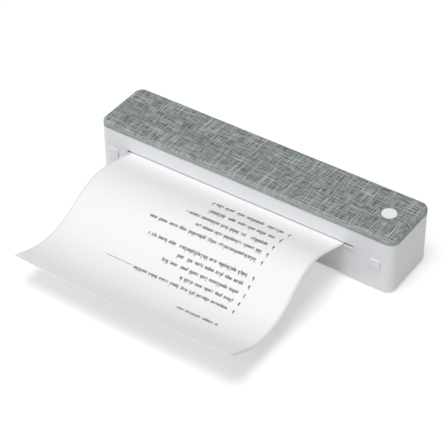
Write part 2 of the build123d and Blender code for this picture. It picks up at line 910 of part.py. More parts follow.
def make_platen_bush(name, inner_x, side):
    """A flanged plain bearing; its flange is on the platen's side of the plate."""
    with BuildPart() as platen_bush:
        with BuildSketch(side_plane(inner_x)):
            with Locations((platen_y, platen_z)):
                Circle(bush_flange_radius)
        extrude(amount=-side * bush_flange)
        with BuildSketch(side_plane(inner_x)):
            with Locations((platen_y, platen_z)):
                Circle(bush_radius)
        extrude(amount=side * (plate_thickness + bush_proud))
        with BuildSketch(side_plane(inner_x - side * bush_flange)):
            with Locations((platen_y, platen_z)):
                Circle(shaft_radius + running_clearance)
        extrude(amount=side * (bush_flange + plate_thickness + bush_proud), mode=Mode.SUBTRACT)
    keep(platen_bush.part, name)


def make_platen():
    sleeve_x = print_centre_x - platen_length / 2
    with BuildPart() as platen_sleeve:
        with BuildSketch(side_plane(sleeve_x)):
            with Locations((platen_y, platen_z)):
                Circle(platen_radius)
                Circle(shaft_radius, mode=Mode.SUBTRACT)
        extrude(amount=platen_length)
    keep(platen_sleeve.part, "platen_sleeve")
    shaft_start = left_plate_x - plate_thickness - shaft_left_end
    shaft_end = first_gear_x + gear_face_width + shaft_right_end
    with BuildPart() as platen_shaft:
        with BuildSketch(side_plane(shaft_start)):
            with Locations((platen_y, platen_z)):
                Circle(shaft_radius)
        extrude(amount=shaft_end - shaft_start)
        chamfer(platen_shaft.edges().filter_by(GeomType.CIRCLE), shaft_chamfer)
    keep(platen_shaft.part, "platen_shaft")


def make_platen_gear():
    centre = (platen_y, platen_z)
    plane = side_plane(first_gear_x)
    with BuildPart() as platen_gear:
        extrude(gear_sketch(plane, platen_teeth, centre, idler_direction), amount=gear_face_width)
        with BuildSketch(plane):
            with Locations(centre):
                Circle(shaft_radius)
        extrude(amount=gear_face_width, mode=Mode.SUBTRACT)
    keep(platen_gear.part, "platen_gear")


def make_idler_gear():
    """The two-step idler: its small wheel meets the platen's gear, its large wheel the motor's pinion."""
    centre = (idler_y, idler_z)
    small_half_pitch = 180 / idler_small_teeth
    with BuildPart() as idler_gear:
        small_direction = idler_direction + 180 + small_half_pitch
        small = gear_sketch(side_plane(first_gear_x), idler_small_teeth, centre, small_direction)
        extrude(small, amount=second_gear_x - first_gear_x)
        large = gear_sketch(side_plane(second_gear_x), idler_large_teeth, centre, pinion_direction)
        extrude(large, amount=large_gear_width)
        with BuildSketch(side_plane(first_gear_x)):
            with Locations(centre):
                Circle(axle_radius + running_clearance)
        extrude(amount=second_gear_x - first_gear_x + large_gear_width, mode=Mode.SUBTRACT)
    keep(idler_gear.part, "idler_gear")


def make_motor_pinion():
    """The pinion and the motor's shaft, which turn as one."""
    centre = (motor_y, motor_z)
    pinion_x = second_gear_x - pinion_overhang
    direction = pinion_direction + 180 + 180 / pinion_teeth
    with BuildPart() as motor_pinion:
        wheel = gear_sketch(side_plane(pinion_x), pinion_teeth, centre, direction)
        extrude(wheel, amount=large_gear_width + 2 * pinion_overhang)
        with BuildSketch(side_plane(pinion_x)):
            with Locations(centre):
                Circle(motor_shaft_radius)
        extrude(amount=motor_x + motor_shaft_depth - pinion_x)
    keep(motor_pinion.part, "motor_pinion")


def make_drive_frame():
    """The axle, the three posts and the plate that carries the motor beside the right end plate."""
    inside_x = right_plate_x + plate_thickness
    with BuildPart() as idler_axle:
        with BuildSketch(side_plane(right_plate_x)):
            with Locations((idler_y, idler_z)):
                Circle(axle_radius)
        extrude(amount=bracket_x + plate_thickness - right_plate_x)
    keep(idler_axle.part, "idler_axle")
    with BuildPart() as gear_posts:
        with BuildSketch(side_plane(inside_x)):
            with Locations(*post_places):
                Circle(post_radius)
        extrude(amount=bracket_x - inside_x)
    keep(gear_posts.part, "gear_posts")
    margin = post_radius + bracket_margin
    front = post_places[2][0] - margin
    rear = post_places[0][0] + margin
    low = post_places[2][1] - margin
    high = motor_z + motor_ear_reach + margin
    with BuildPart() as gear_bracket:
        with BuildSketch(side_plane(bracket_x)):
            with BuildLine():
                Polyline(
                    (front, low),
                    (post_places[1][0] + margin, low),
                    (rear, post_places[0][1] - 2 * margin),
                    (rear, high),
                    (motor_y - 2 * margin, high),
                    (front, idler_z + 2 * margin),
                    close=True,
                )
            make_face()
            fillet(vertices(), bracket_corner)
            with Locations((motor_y, motor_z)):
                Circle(motor_boss_radius + motor_boss_clearance, mode=Mode.SUBTRACT)
            with Locations((idler_y, idler_z)):
                Circle(axle_radius, mode=Mode.SUBTRACT)
            with Locations(*motor_screws_at):
                Circle(screw_radius, mode=Mode.SUBTRACT)
        extrude(amount=plate_thickness)
    keep(gear_bracket.part, "gear_bracket")


def make_stepper_motor():
    """The motor's can with its two mounting ears and the boss that its shaft turns in."""
    with BuildPart() as stepper_motor:
        with BuildSketch(side_plane(motor_x)):
            with Locations((motor_y, motor_z)):
                Circle(motor_radius)
        extrude(amount=motor_length)
        fillet(stepper_motor.edges().filter_by(GeomType.CIRCLE).group_by(Axis.X)[-1], motor_can_edge)
        with BuildSketch(side_plane(motor_x)):
            with Locations((motor_y, motor_z)):
                SlotCenterToCenter(2 * motor_ear_reach, 2 * motor_ear_half_width, rotation=90)
            with Locations(*motor_screws_at):
                Circle(screw_radius, mode=Mode.SUBTRACT)
        extrude(amount=motor_ear_thickness)
        with BuildSketch(side_plane(bracket_x)):
            with Locations((motor_y, motor_z)):
                Circle(motor_boss_radius)
        extrude(amount=plate_thickness)
        with BuildSketch(side_plane(bracket_x)):
            with Locations((motor_y, motor_z)):
                Circle(motor_shaft_radius + running_clearance)
        extrude(amount=plate_thickness + motor_shaft_depth + motor_shaft_end_gap, mode=Mode.SUBTRACT)
    keep(stepper_motor.part, "stepper_motor")
    seat = side_plane(motor_x + motor_ear_thickness)
    keep(screw_group(seat, motor_screws_at, motor_screw_length), "motor_screws")
    start = (motor_x + motor_length - motor_cable_inset, motor_z - motor_radius - seat_gap)
    bend = ribbon_bend_radius
    drop = start[1] - board_top_z - ribbon_thickness / 2 - bend
    side_run = start[0] - bend - (board_right_x - motor_cable_inset)
    steps = [(drop, 0), (bend, -90), (side_run, 0)]
    with BuildPart() as motor_cable:
        plane = front_plane(motor_y - ribbon_width / 2)
        extrude(strip(plane, start, -90, steps, ribbon_thickness), amount=-ribbon_width)
    keep(motor_cable.part, "motor_cable")


motor_screws_at = [(motor_y, motor_z - motor_ear_reach), (motor_y, motor_z + motor_ear_reach)]
first_post_x = board_left_x + board_post_inset
last_post_x = right_plate_x - board_post_inset
board_posts_at = [
    (x, y)
    for x in (first_post_x, last_post_x)
    for y in (board_front_y + board_post_edge, board_rear_y - board_post_edge)
]


# ================================================================ battery and electronics
def make_battery():
    with BuildPart() as battery_cells:
        for start in (cells_left_x, cells_left_x + cell_length + cell_gap):
            with BuildSketch(side_plane(start)):
                with Locations((cell_y, cell_z)):
                    Circle(cell_radius)
            extrude(amount=cell_length)
        fillet(battery_cells.edges().filter_by(GeomType.CIRCLE), cell_edge)
    keep(battery_cells.part, "battery_cells")
    with BuildPart() as battery_tray:
        with BuildSketch(Plane.XY.offset(cover_top_z)):
            with Locations((cells_centre_x, (tray_front_y + tray_rear_y) / 2)):
                Rectangle(cells_length + 2 * (tray_wall + tray_clearance), tray_rear_y - tray_front_y)
        extrude(amount=tray_top_z - cover_top_z)
        with BuildSketch(side_plane(cells_left_x - tray_clearance)):
            with Locations((cell_y, cell_z)):
                Circle(cell_radius + tray_clearance)
        extrude(amount=cells_length + 2 * tray_clearance, mode=Mode.SUBTRACT)
    keep(battery_tray.part, "battery_tray")


def make_main_board():
    with BuildPart() as main_board:
        with BuildSketch(Plane.XY.offset(board_z)):
            with Locations((board_left_x, board_front_y)):
                Rectangle(
                    board_right_x - board_left_x,
                    board_rear_y - board_front_y,
                    align=(Align.MIN, Align.MIN),
                )
            with Locations((usb_x, board_front_y)):
                arm_length = board_arm_end_y - board_front_y
                Rectangle(board_arm_width, arm_length, align=(Align.CENTER, Align.MIN))
            with Locations(*board_posts_at):
                Circle(screw_radius + screw_clearance, mode=Mode.SUBTRACT)
        extrude(amount=board_thickness)
    keep(main_board.part, "main_board")
    with BuildPart() as board_chips:
        for share, y, length, width, height in chip_table:
            x = first_post_x + share * (last_post_x - first_post_x)
            with BuildSketch(Plane.XY.offset(board_top_z)):
                with Locations((x, board_front_y + y)):
                    Rectangle(length, width)
            extrude(amount=height)
    keep(board_chips.part, "board_chips")
    keep(screw_group(Plane.XY.offset(board_top_z), board_posts_at, board_screw_length), "board_screws")


# Each chip's place along the way between the board's screws, then its distance from the board's front
# edge, its length, its width and its height.
chip_table = [
    (0.17, 9.0, 9.0, 9.0, 1.0),
    (0.37, 8.0, 5.0, 4.0, 1.4),
    (0.55, 10.5, 7.0, 5.0, 1.2),
    (0.80, 9.5, 10.0, 7.0, 1.6),
]


def make_usb_socket():
    """A socket's folded steel shell with its tongue, opening through the rear wall."""
    mouth_y = rear_y - usb_recess
    with BuildPart() as usb_socket:
        with BuildSketch(front_plane(mouth_y)):
            with Locations((usb_x, usb_z)):
                SlotOverall(usb_width, usb_height)
        extrude(amount=usb_length)
        with BuildSketch(front_plane(mouth_y)):
            with Locations((usb_x, usb_z)):
                SlotOverall(usb_width - 2 * usb_shell, usb_height - 2 * usb_shell)
        extrude(amount=usb_length - usb_back, mode=Mode.SUBTRACT)
        with BuildSketch(front_plane(mouth_y - usb_tongue_recess)):
            with Locations((usb_x, usb_z)):
                Rectangle(usb_tongue_width, usb_tongue_height)
        extrude(amount=usb_length - usb_back)
    keep(usb_socket.part, "usb_socket")


def make_head_cables():
    """The print head's flat cable, as the length in the body and the length in the lid."""
    top = rim_z - cable_top_drop
    start_y = rear_wall_y - cable_wall_gap
    bend = ribbon_bend_radius
    lean_sin = math.sin(math.radians(cable_lean))
    lean_cos = math.cos(math.radians(cable_lean))
    slant = (start_y - ribbon_start_y - 2 * bend * (1 - lean_cos)) / lean_sin
    used = cable_rise + 2 * bend * lean_sin + slant * lean_cos
    last_run = top - board_top_z - used
    steps = [(cable_rise, 0), (bend, -cable_lean), (slant, 0), (bend, cable_lean), (last_run, 0)]
    plane = side_plane(usb_x - ribbon_width / 2)
    with BuildPart() as head_cable_base:
        band = strip(plane, (ribbon_start_y, board_top_z), 90, steps, ribbon_thickness)
        extrude(band, amount=ribbon_width)
    keep(head_cable_base.part, "head_cable_base")
    lie_z = liner_z - ribbon_thickness / 2
    drop = lie_z - bend - top - seat_gap
    run = start_y - bend - (connector_y + connector_length / 2)
    with BuildPart() as head_cable_lid:
        steps = [(drop, 0), (bend, 90), (run, 0)]
        band = strip(plane, (start_y, top + seat_gap), 90, steps, ribbon_thickness)
        extrude(band, amount=ribbon_width)
    keep(head_cable_lid.part, "head_cable_lid")
    with BuildPart() as head_connector:
        with BuildSketch(Plane.XY.offset(liner_z)):
            with Locations((usb_x, connector_y)):
                Rectangle(connector_width, connector_length)
        extrude(amount=-connector_height)
        chamfer(head_connector.edges().filter_by(Axis.Z), connector_chamfer)
    keep(head_connector.part, "head_connector")


# ================================================================ lid
def make_lid_frame():
    with BuildPart() as lid_frame:
        with BuildSketch(Plane.XY.offset(lid_bottom_z)):
            RectangleRounded(frame_length, frame_width, frame_corner)
        extrude(amount=frame_top_z - lid_bottom_z)
        fillet(lid_frame.edges().group_by(Axis.Z)[-1], fabric_edge_radius - fabric_thickness)
        with BuildSketch(Plane.XY.offset(lid_bottom_z)):
            RectangleRounded(body_length, body_width, corner_radius)
        extrude(amount=trim_height)
        with BuildSketch(Plane.XY.offset(lid_lip_bottom_z)):
            RectangleRounded(lid_lip_length, lid_lip_width, lid_lip_radius)
        extrude(amount=lid_bottom_z - lid_lip_bottom_z)
        for x in (tab_left_x, tab_right_x):
            with BuildSketch(Plane.XY.offset(catch_bottom_z)):
                with Locations((x, (catch_front_y + catch_rear_y) / 2)):
                    Rectangle(catch_width, catch_thickness)
            extrude(amount=lid_bottom_z - catch_bottom_z)
        hollow_length = lid_lip_length - 2 * lid_lip_thickness
        hollow_width = lid_lip_width - 2 * lid_lip_thickness
        with BuildSketch(Plane.XY.offset(lid_lip_bottom_z)):
            RectangleRounded(hollow_length, hollow_width, lid_lip_radius - lid_lip_thickness)
        extrude(amount=frame_under_z - lid_lip_bottom_z, mode=Mode.SUBTRACT)
        with BuildSketch(front_plane(catch_rear_y)):
            with Locations((tab_left_x, nose_z), (tab_right_x, nose_z)):
                Rectangle(stem_width + catch_window_margin, nose_height + catch_window_margin)
        extrude(amount=catch_thickness, mode=Mode.SUBTRACT)
        with BuildSketch(Plane.XY.offset(frame_under_z)):
            with Locations((button_x, button_y)):
                Circle(button_radius + button_clearance)
        extrude(amount=lid_top, mode=Mode.SUBTRACT)
        with BuildSketch(Plane.XY.offset(lid_lip_bottom_z)):
            with Locations((usb_x, rear_wall_y - lip_gap)):
                Rectangle(ribbon_width + 2 * cable_notch_side, cable_notch_depth)
        extrude(amount=liner_z - lid_lip_bottom_z, mode=Mode.SUBTRACT)
        with BuildSketch(Plane.XY.offset(frame_under_z)):
            with Locations(*liner_screws_at):
                Circle(screw_radius)
        extrude(amount=liner_screw_length - liner_thickness + pilot_extra, mode=Mode.SUBTRACT)
        for centre in (-hinge_x, hinge_x):
            add_lid_knuckle(centre - knuckle_length / 2)
    keep(lid_frame.part, "lid_frame")


def add_lid_knuckle(low_x):
    """The lid's middle knuckle of one hinge, with the tongue that joins it to the frame."""
    tongue_top = hinge_z + knuckle_radius
    with BuildSketch(side_plane(low_x)) as knuckle:
        with BuildLine():
            Polyline(
                (frame_width / 2 - lid_wall / 2, lid_bottom_z),
                (hinge_y, lid_bottom_z),
                (hinge_y, tongue_top),
                (frame_width / 2 - lid_wall / 2, tongue_top),
                close=True,
            )
        make_face()
        with Locations((hinge_y, hinge_z)):
            Circle(knuckle_radius)
            Circle(hinge_pin_radius + running_clearance, mode=Mode.SUBTRACT)
    extrude(knuckle.sketch, amount=knuckle_length)


liner_screws_at = [
    (x, y)
    for x in (-liner_screw_x, 0, liner_screw_x)
    for y in (-liner_screw_y, liner_screw_y)
]


def make_fabric_cover():
    """The woven skin stretched over the frame, as one shell with an opening for the button."""
    fabric_z = lid_bottom_z + trim_height
    with BuildPart() as core:
        with BuildSketch(Plane.XY.offset(fabric_z)):
            RectangleRounded(frame_length, frame_width, frame_corner)
        extrude(amount=frame_top_z - fabric_z)
        fillet(core.edges().group_by(Axis.Z)[-1], fabric_edge_radius - fabric_thickness)
    with BuildPart() as fabric_cover:
        with BuildSketch(Plane.XY.offset(fabric_z)):
            RectangleRounded(body_length, body_width, corner_radius)
        extrude(amount=top_z - fabric_z)
        fillet(fabric_cover.edges().group_by(Axis.Z)[-1], fabric_edge_radius)
        add(core.part, mode=Mode.SUBTRACT)
        with BuildSketch(Plane.XY.offset(frame_under_z)):
            with Locations((button_x, button_y)):
                Circle(button_radius + button_clearance)
        extrude(amount=lid_top + fabric_thickness, mode=Mode.SUBTRACT)
        with BuildSketch(Plane.XY.offset(fabric_z)):
            with Locations((-hinge_x, rear_y), (hinge_x, rear_y)):
                Rectangle(knuckle_length + 2 * knuckle_gap, 4 * fabric_thickness)
        extrude(amount=hinge_z + knuckle_radius + knuckle_gap - fabric_z, mode=Mode.SUBTRACT)
    keep(fabric_cover.part, "fabric_cover")


def make_lid_liner():
    """The inner panel of the lid, with the posts of the head's springs and of the button's board."""
    liner_length = lid_lip_length - 2 * lid_lip_thickness - 2 * liner_gap
    liner_width = lid_lip_width - 2 * lid_lip_thickness - 2 * liner_gap
    with BuildPart() as lid_liner:
        with BuildSketch(Plane.XY.offset(liner_z)):
            RectangleRounded(liner_length, liner_width, lid_lip_radius - lid_lip_thickness - liner_gap)
            with Locations((button_x, button_y)):
                Circle(button_radius + button_flange + 2 * button_clearance, mode=Mode.SUBTRACT)
            with Locations(*liner_screws_at):
                Circle(screw_radius + screw_clearance, mode=Mode.SUBTRACT)
        extrude(amount=liner_thickness)
        with BuildSketch(Plane.XY.offset(liner_z)):
            with Locations(*springs_at):
                Circle(spring_post_radius)
        extrude(amount=-spring_post_length)
        with BuildSketch(Plane.XY.offset(liner_z)):
            with Locations(*switch_posts_at):
                Circle(switch_post_radius)
        extrude(amount=-(liner_z - switch_board_z - switch_board_thickness))
    keep(lid_liner.part, "lid_liner")
    seat = Plane(origin=(0, 0, liner_z), x_dir=(1, 0, 0), z_dir=(0, 0, -1))
    places = [(x, -y) for x, y in liner_screws_at]
    keep(screw_group(seat, places, liner_screw_length), "liner_screws")


springs_at = [(print_centre_x + step * spring_pitch_x, platen_y) for step in (-1, 0, 1)]
switch_post_y = switch_board_length / 2 - switch_post_radius - switch_post_edge
switch_posts_at = [(button_x, button_y - switch_post_y), (button_x, button_y + switch_post_y)]


def make_power_button():
    with BuildPart() as power_button:
        flange_top = frame_under_z - button_stop_gap
        with BuildSketch(Plane.XY.offset(flange_top - button_flange_thickness)):
            with Locations((button_x, button_y)):
                Circle(button_radius + button_flange)
        extrude(amount=button_flange_thickness)
        with BuildSketch(Plane.XY.offset(flange_top - button_flange_thickness)):
            with Locations((button_x, button_y)):
                Circle(button_radius)
        extrude(amount=top_z + button_proud - flange_top + button_flange_thickness)
        fillet(power_button.edges().group_by(Axis.Z)[-1], button_edge)
        with BuildSketch(Plane.XY.offset(button_stem_z)):
            with Locations((button_x, button_y)):
                Circle(button_stem_radius)
        extrude(amount=flange_top - button_stem_z)
    keep(power_button.part, "power_button")


def make_power_switch():
    with BuildPart() as button_board:
        with BuildSketch(Plane.XY.offset(switch_board_z)):
            with Locations((button_x, button_y)):
                RectangleRounded(switch_board_width, switch_board_length, switch_board_corner)
        extrude(amount=switch_board_thickness)
    keep(button_board.part, "button_board")
    with BuildPart() as power_switch:
        with BuildSketch(Plane.XY.offset(switch_board_z + switch_board_thickness)):
            with Locations((button_x, button_y)):
                Rectangle(switch_size, switch_size)
        extrude(amount=switch_height)
        chamfer(power_switch.edges().filter_by(Axis.Z), switch_chamfer)
        with BuildSketch(Plane.XY.offset(switch_board_z + switch_board_thickness + switch_height)):
            with Locations((button_x, button_y)):
                Circle(switch_plunger_radius)
        extrude(amount=switch_plunger_height)
    keep(power_switch.part, "power_switch")


def make_hinge_pin(name, centre):
    pin_length = 3 * knuckle_length + 2 * knuckle_gap
    with BuildPart() as hinge_pin:
        with BuildSketch(side_plane(centre - pin_length / 2)):
            with Locations((hinge_y, hinge_z)):
                Circle(hinge_pin_radius)
        extrude(amount=pin_length)
    keep(hinge_pin.part, name)


# ================================================================ print head
def make_print_head():
    """The ceramic strip with the raised glaze line that its heaters lie on."""
    left = print_centre_x - head_length / 2
    with BuildPart() as print_head:
        with BuildSketch(side_plane(left)):
            with Locations((platen_y, substrate_z)):
                Rectangle(head_width, head_thickness, align=(Align.CENTER, Align.MIN))
            with BuildLine():
                half = heater_width / 2
                ThreePointArc(
                    (platen_y - half, substrate_z),
                    (platen_y, substrate_z - heater_height),
                    (platen_y + half, substrate_z),
                )
                Line((platen_y - half, substrate_z), (platen_y + half, substrate_z))
            make_face()
        extrude(amount=head_length)
    keep(print_head.part, "print_head")


def make_heat_sink():
    """The head's aluminium back, finned, with the arm and the eye that it swings on."""
    left = print_centre_x - head_length / 2
    with BuildPart() as heat_sink:
        with BuildSketch(side_plane(left)):
            with Locations((platen_y - sink_front, sink_z)):
                Rectangle(sink_front + sink_rear, sink_thickness, align=(Align.MIN, Align.MIN))
            with Locations(*[(platen_y + offset, sink_top_z) for offset in fin_offsets]):
                Rectangle(fin_thickness, fin_height, align=(Align.CENTER, Align.MIN))
            with BuildLine():
                foot_y = platen_y + sink_rear
                Polyline(
                    (foot_y - arm_root, sink_top_z),
                    (foot_y, sink_z + sink_thickness / 2),
                    (pivot_y + eye_radius * 0.45, pivot_z - eye_radius * 0.85),
                    (pivot_y - eye_radius * 0.6, pivot_z + eye_radius * 0.7),
                    close=True,
                )
            make_face()
            with Locations((pivot_y, pivot_z)):
                Circle(eye_radius)
                Circle(pivot_radius + running_clearance, mode=Mode.SUBTRACT)
        extrude(amount=head_length)
    keep(heat_sink.part, "heat_sink")


def make_head_hanger(name, inner_x, side):
    """A bent steel hanger under the liner that holds one end of the pivot rod."""
    outer_x = inner_x + side * hanger_thickness
    with BuildPart() as head_hanger:
        with BuildSketch(side_plane(inner_x)):
            with Locations((pivot_y, pivot_z)):
                Circle(hanger_half_width)
                Rectangle(2 * hanger_half_width, liner_z - pivot_z, align=(Align.CENTER, Align.MIN))
                Circle(pivot_radius, mode=Mode.SUBTRACT)
        extrude(amount=side * hanger_thickness)
        with BuildSketch(Plane.XY.offset(liner_z - hanger_thickness)):
            with Locations((outer_x + side * (hanger_foot - hanger_thickness) / 2, pivot_y)):
                Rectangle(hanger_foot - hanger_thickness, 2 * hanger_half_width)
        extrude(amount=hanger_thickness)
    keep(head_hanger.part, name)


def make_head_hanging():
    left = print_centre_x - head_length / 2 - hanger_gap
    right = print_centre_x + head_length / 2 + hanger_gap
    make_head_hanger("head_hanger_left", left, -1)
    make_head_hanger("head_hanger_right", right, 1)
    rod_overhang = hanger_thickness + rod_end
    with BuildPart() as head_pivot_rod:
        with BuildSketch(side_plane(left - rod_overhang)):
            with Locations((pivot_y, pivot_z)):
                Circle(pivot_radius)
        extrude(amount=right - left + 2 * rod_overhang)
    keep(head_pivot_rod.part, "head_pivot_rod")
    with BuildPart() as head_springs:
        with BuildSketch(Plane.XY.offset(sink_top_z + spring_end_gap)):
            with Locations(*springs_at):
                Circle(spring_radius)
                Circle(spring_radius - spring_wire, mode=Mode.SUBTRACT)
        extrude(amount=liner_z - sink_top_z - 2 * spring_end_gap)
    keep(head_springs.part, "head_springs")


# ================================================================ release tabs
def make_release_tab(name, x):
    """A press-in tab: its stem carries an upright arm whose nose lies in the lid catch's window."""
    with BuildPart() as release_tab:
        with BuildSketch(front_plane(front_y - tab_proud)):
            with Locations((x, tab_z)):
                RectangleRounded(tab_width, tab_height, tab_corner)
        extrude(amount=-(tab_flange_y - front_y + tab_proud))
        fillet(release_tab.edges().group_by(Axis.Y)[0], tab_edge)
        with BuildSketch(front_plane(tab_flange_y)):
            with Locations((x, tab_z)):
                side = 2 * tab_flange
                RectangleRounded(tab_width + side, tab_height + side, tab_corner)
        extrude(amount=-tab_flange_thickness)
        with BuildSketch(front_plane(tab_flange_y + tab_flange_thickness)):
            with Locations((x, tab_z)):
                Rectangle(stem_width, stem_height)
        extrude(amount=-stem_length)
        with BuildSketch(side_plane(x - stem_width / 2)):
            with BuildLine():
                top = nose_z + nose_height / 2
                low = nose_z - nose_height / 2
                Polyline(
                    (latch_arm_y, tab_z - stem_height / 2),
                    (latch_arm_y + latch_arm_thickness, tab_z - stem_height / 2),
                    (latch_arm_y + latch_arm_thickness, top),
                    (latch_arm_y, top),
                    (nose_tip_y, nose_z),
                    (nose_tip_y, low),
                    (latch_arm_y, low),
                    close=True,
                )
            make_face()
        extrude(amount=stem_width)
    keep(release_tab.part, name)


def make_tab_spring(name, x):
    with BuildPart() as tab_spring:
        with BuildSketch(front_plane(stem_rear_y + spring_end_gap)):
            with Locations((x, tab_z)):
                Circle(tab_spring_radius)
                Circle(tab_spring_radius - spring_wire, mode=Mode.SUBTRACT)
        extrude(amount=-(tab_spring_length - 2 * spring_end_gap))
    keep(tab_spring.part, name)


os.makedirs("parts", exist_ok=True)
make_base_tub()
make_bottom_cover()
make_foot_strips()
make_cover_screws()
make_exit_guide()
make_roll_cradle()
guide_left_x = print_centre_x - paper_width / 2 - roll_guide_gap
guide_right_x = print_centre_x + paper_width / 2 + roll_guide_gap
make_roll_guide("roll_guide_left", guide_left_x, 1)
make_roll_guide("roll_guide_right", guide_right_x, -1)
make_roll()
make_paper_sheet()
make_paper_sensor()
make_side_plate("side_plate_left", left_plate_x - plate_thickness, False)
make_side_plate("side_plate_right", right_plate_x, True)
make_platen_bush("platen_bush_left", left_plate_x, -1)
make_platen_bush("platen_bush_right", right_plate_x, 1)
make_platen()
make_platen_gear()
make_idler_gear()
make_motor_pinion()
make_drive_frame()
make_stepper_motor()
make_battery()
make_main_board()
make_usb_socket()
make_head_cables()
make_lid_frame()
make_fabric_cover()
make_lid_liner()
make_power_button()
make_power_switch()
make_hinge_pin("hinge_pin_left", -hinge_x)
make_hinge_pin("hinge_pin_right", hinge_x)
make_print_head()
make_heat_sink()
make_head_hanging()
make_release_tab("release_tab_left", tab_left_x)
make_release_tab("release_tab_right", tab_right_x)
make_tab_spring("tab_spring_left", tab_left_x)
make_tab_spring("tab_spring_right", tab_right_x)
print(len(parts), "pieces")
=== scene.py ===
import math

import bmesh
import bpy
import numpy as np
from mathutils import Matrix, Vector
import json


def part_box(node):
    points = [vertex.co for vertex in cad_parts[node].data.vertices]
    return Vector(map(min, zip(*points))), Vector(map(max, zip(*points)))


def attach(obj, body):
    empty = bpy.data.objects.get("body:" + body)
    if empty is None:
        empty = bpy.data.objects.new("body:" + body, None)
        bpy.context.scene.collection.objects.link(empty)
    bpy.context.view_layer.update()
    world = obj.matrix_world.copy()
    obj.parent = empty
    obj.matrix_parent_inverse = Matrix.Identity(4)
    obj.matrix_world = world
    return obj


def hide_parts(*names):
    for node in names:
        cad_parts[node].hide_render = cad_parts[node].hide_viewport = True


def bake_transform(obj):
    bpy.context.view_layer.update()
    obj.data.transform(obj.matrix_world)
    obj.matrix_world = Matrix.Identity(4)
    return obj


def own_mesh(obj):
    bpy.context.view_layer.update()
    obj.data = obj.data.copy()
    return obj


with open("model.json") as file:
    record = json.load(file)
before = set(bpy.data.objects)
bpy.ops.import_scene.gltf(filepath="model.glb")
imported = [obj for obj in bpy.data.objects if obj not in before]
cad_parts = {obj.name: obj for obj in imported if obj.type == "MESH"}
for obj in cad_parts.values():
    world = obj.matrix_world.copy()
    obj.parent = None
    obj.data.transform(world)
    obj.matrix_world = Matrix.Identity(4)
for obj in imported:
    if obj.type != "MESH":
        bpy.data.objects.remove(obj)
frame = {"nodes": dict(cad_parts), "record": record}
bpy.context.scene.view_settings.view_transform = "Standard"
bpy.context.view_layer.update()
nodes = frame["nodes"]

# Sizes that follow the part's source, here in metres. X runs to the button end, -Y is the front, Z is up.
MM = 0.001
BODY_LENGTH, BODY_WIDTH, CORNER = 288 * MM, 58 * MM, 8 * MM
FABRIC_LOW, TOP_Z, FABRIC_EDGE = 50.1 * MM, 56 * MM, 3.2 * MM
PAGE_LEFT, PAGE_WIDTH, PAGE_Z = -111.2 * MM, 210 * MM, 33.825 * MM
BUTTON_X, BUTTON_HOLE = 122 * MM, 6.7 * MM
KNUCKLE_X, KNUCKLE_GAP, KNUCKLE_TOP = 85 * MM, 4.3 * MM, 51.4 * MM
ROLL_Y, ROLL_Z, ROLL_RADIUS, CORE_RADIUS = 10 * MM, 23.8 * MM, 13 * MM, 8 * MM
PLATEN_Y = -15 * MM
HEAD_SPRING_X, HEAD_SPRING_RADIUS, HEAD_SPRING_TURNS = (-81.2 * MM, -6.2 * MM, 68.8 * MM), 2.65 * MM, 8
TAB_SPRING_RADIUS, TAB_SPRING_TURNS = 1.85 * MM, 5
SPRING_WIRE = 0.3 * MM

# The photograph's viewpoint, fitted to the edges of the body. The angles are degrees from the front and from
# level, and the distances are metres.
CAMERA_AZIMUTH, CAMERA_ELEVATION = 34.09, 39.98
CAMERA_DISTANCE, CAMERA_LEFT, CAMERA_DOWN, CAMERA_BASE = 1.57181, 0.03027, 0.01011, 0.001
FOCAL_PIXELS, PICTURE_PIXELS, SENSOR_WIDTH = 1869.32, 448, 36
NEAR, FAR = 0.05, 50

# The sky loses strength towards the right (+X) and the back (+Y). LAMP_FROM points from the object to the
# lamp, and LAMP_DEGREES is how wide the lamp looks from there.
SKY, SKY_FALL_RIGHT, SKY_FALL_BACK, SKY_COLOUR = 0.33, 0.27, 0.45, (0.985, 0.992, 1.0, 1)
LAMP, LAMP_FROM, LAMP_DEGREES, LAMP_COLOUR = 1.93, (0.0, -0.19, 0.98), 28, (1.0, 0.995, 0.985)
# The floor throws its plain grey back on the object. What the camera sees is the second grey and a glow.
FLOOR_HALF, FLOOR_GREY, FLOOR_SEEN, FLOOR_GLOW = 12.0, 0.8, 0.6, 0.47
FULL_WHITE = (1, 1, 1, 1)

PAPER = (0.868, 0.87, 0.872)
WHITE = (0.838, 0.851, 0.874)


# ---------------------------------------------------------------- camera and light
def make_camera():
    """The photograph's viewpoint."""
    azimuth, elevation = math.radians(CAMERA_AZIMUTH), math.radians(CAMERA_ELEVATION)
    back = Vector((
        math.sin(azimuth) * math.cos(elevation),
        -math.cos(azimuth) * math.cos(elevation),
        math.sin(elevation),
    ))
    right = Vector((math.cos(azimuth), math.sin(azimuth), 0))
    up = back.cross(right)
    place = CAMERA_DISTANCE * back - CAMERA_LEFT * right - CAMERA_DOWN * up + Vector((0, 0, CAMERA_BASE))
    data = bpy.data.cameras.new("camera")
    data.sensor_width = SENSOR_WIDTH
    data.lens = FOCAL_PIXELS / PICTURE_PIXELS * data.sensor_width
    data.clip_start, data.clip_end = NEAR, FAR
    camera = bpy.data.objects.new("camera", data)
    rotation = Matrix((right, up, back)).transposed().to_4x4()
    camera.matrix_world = Matrix.Translation(place) @ rotation
    bpy.context.scene.collection.objects.link(camera)
    bpy.context.scene.camera = camera


def wire(tree, value, socket):
    """Joins a node's output to a socket, or writes a plain value there."""
    if isinstance(value, bpy.types.NodeSocket):
        tree.links.new(value, socket)
    else:
        socket.default_value = value


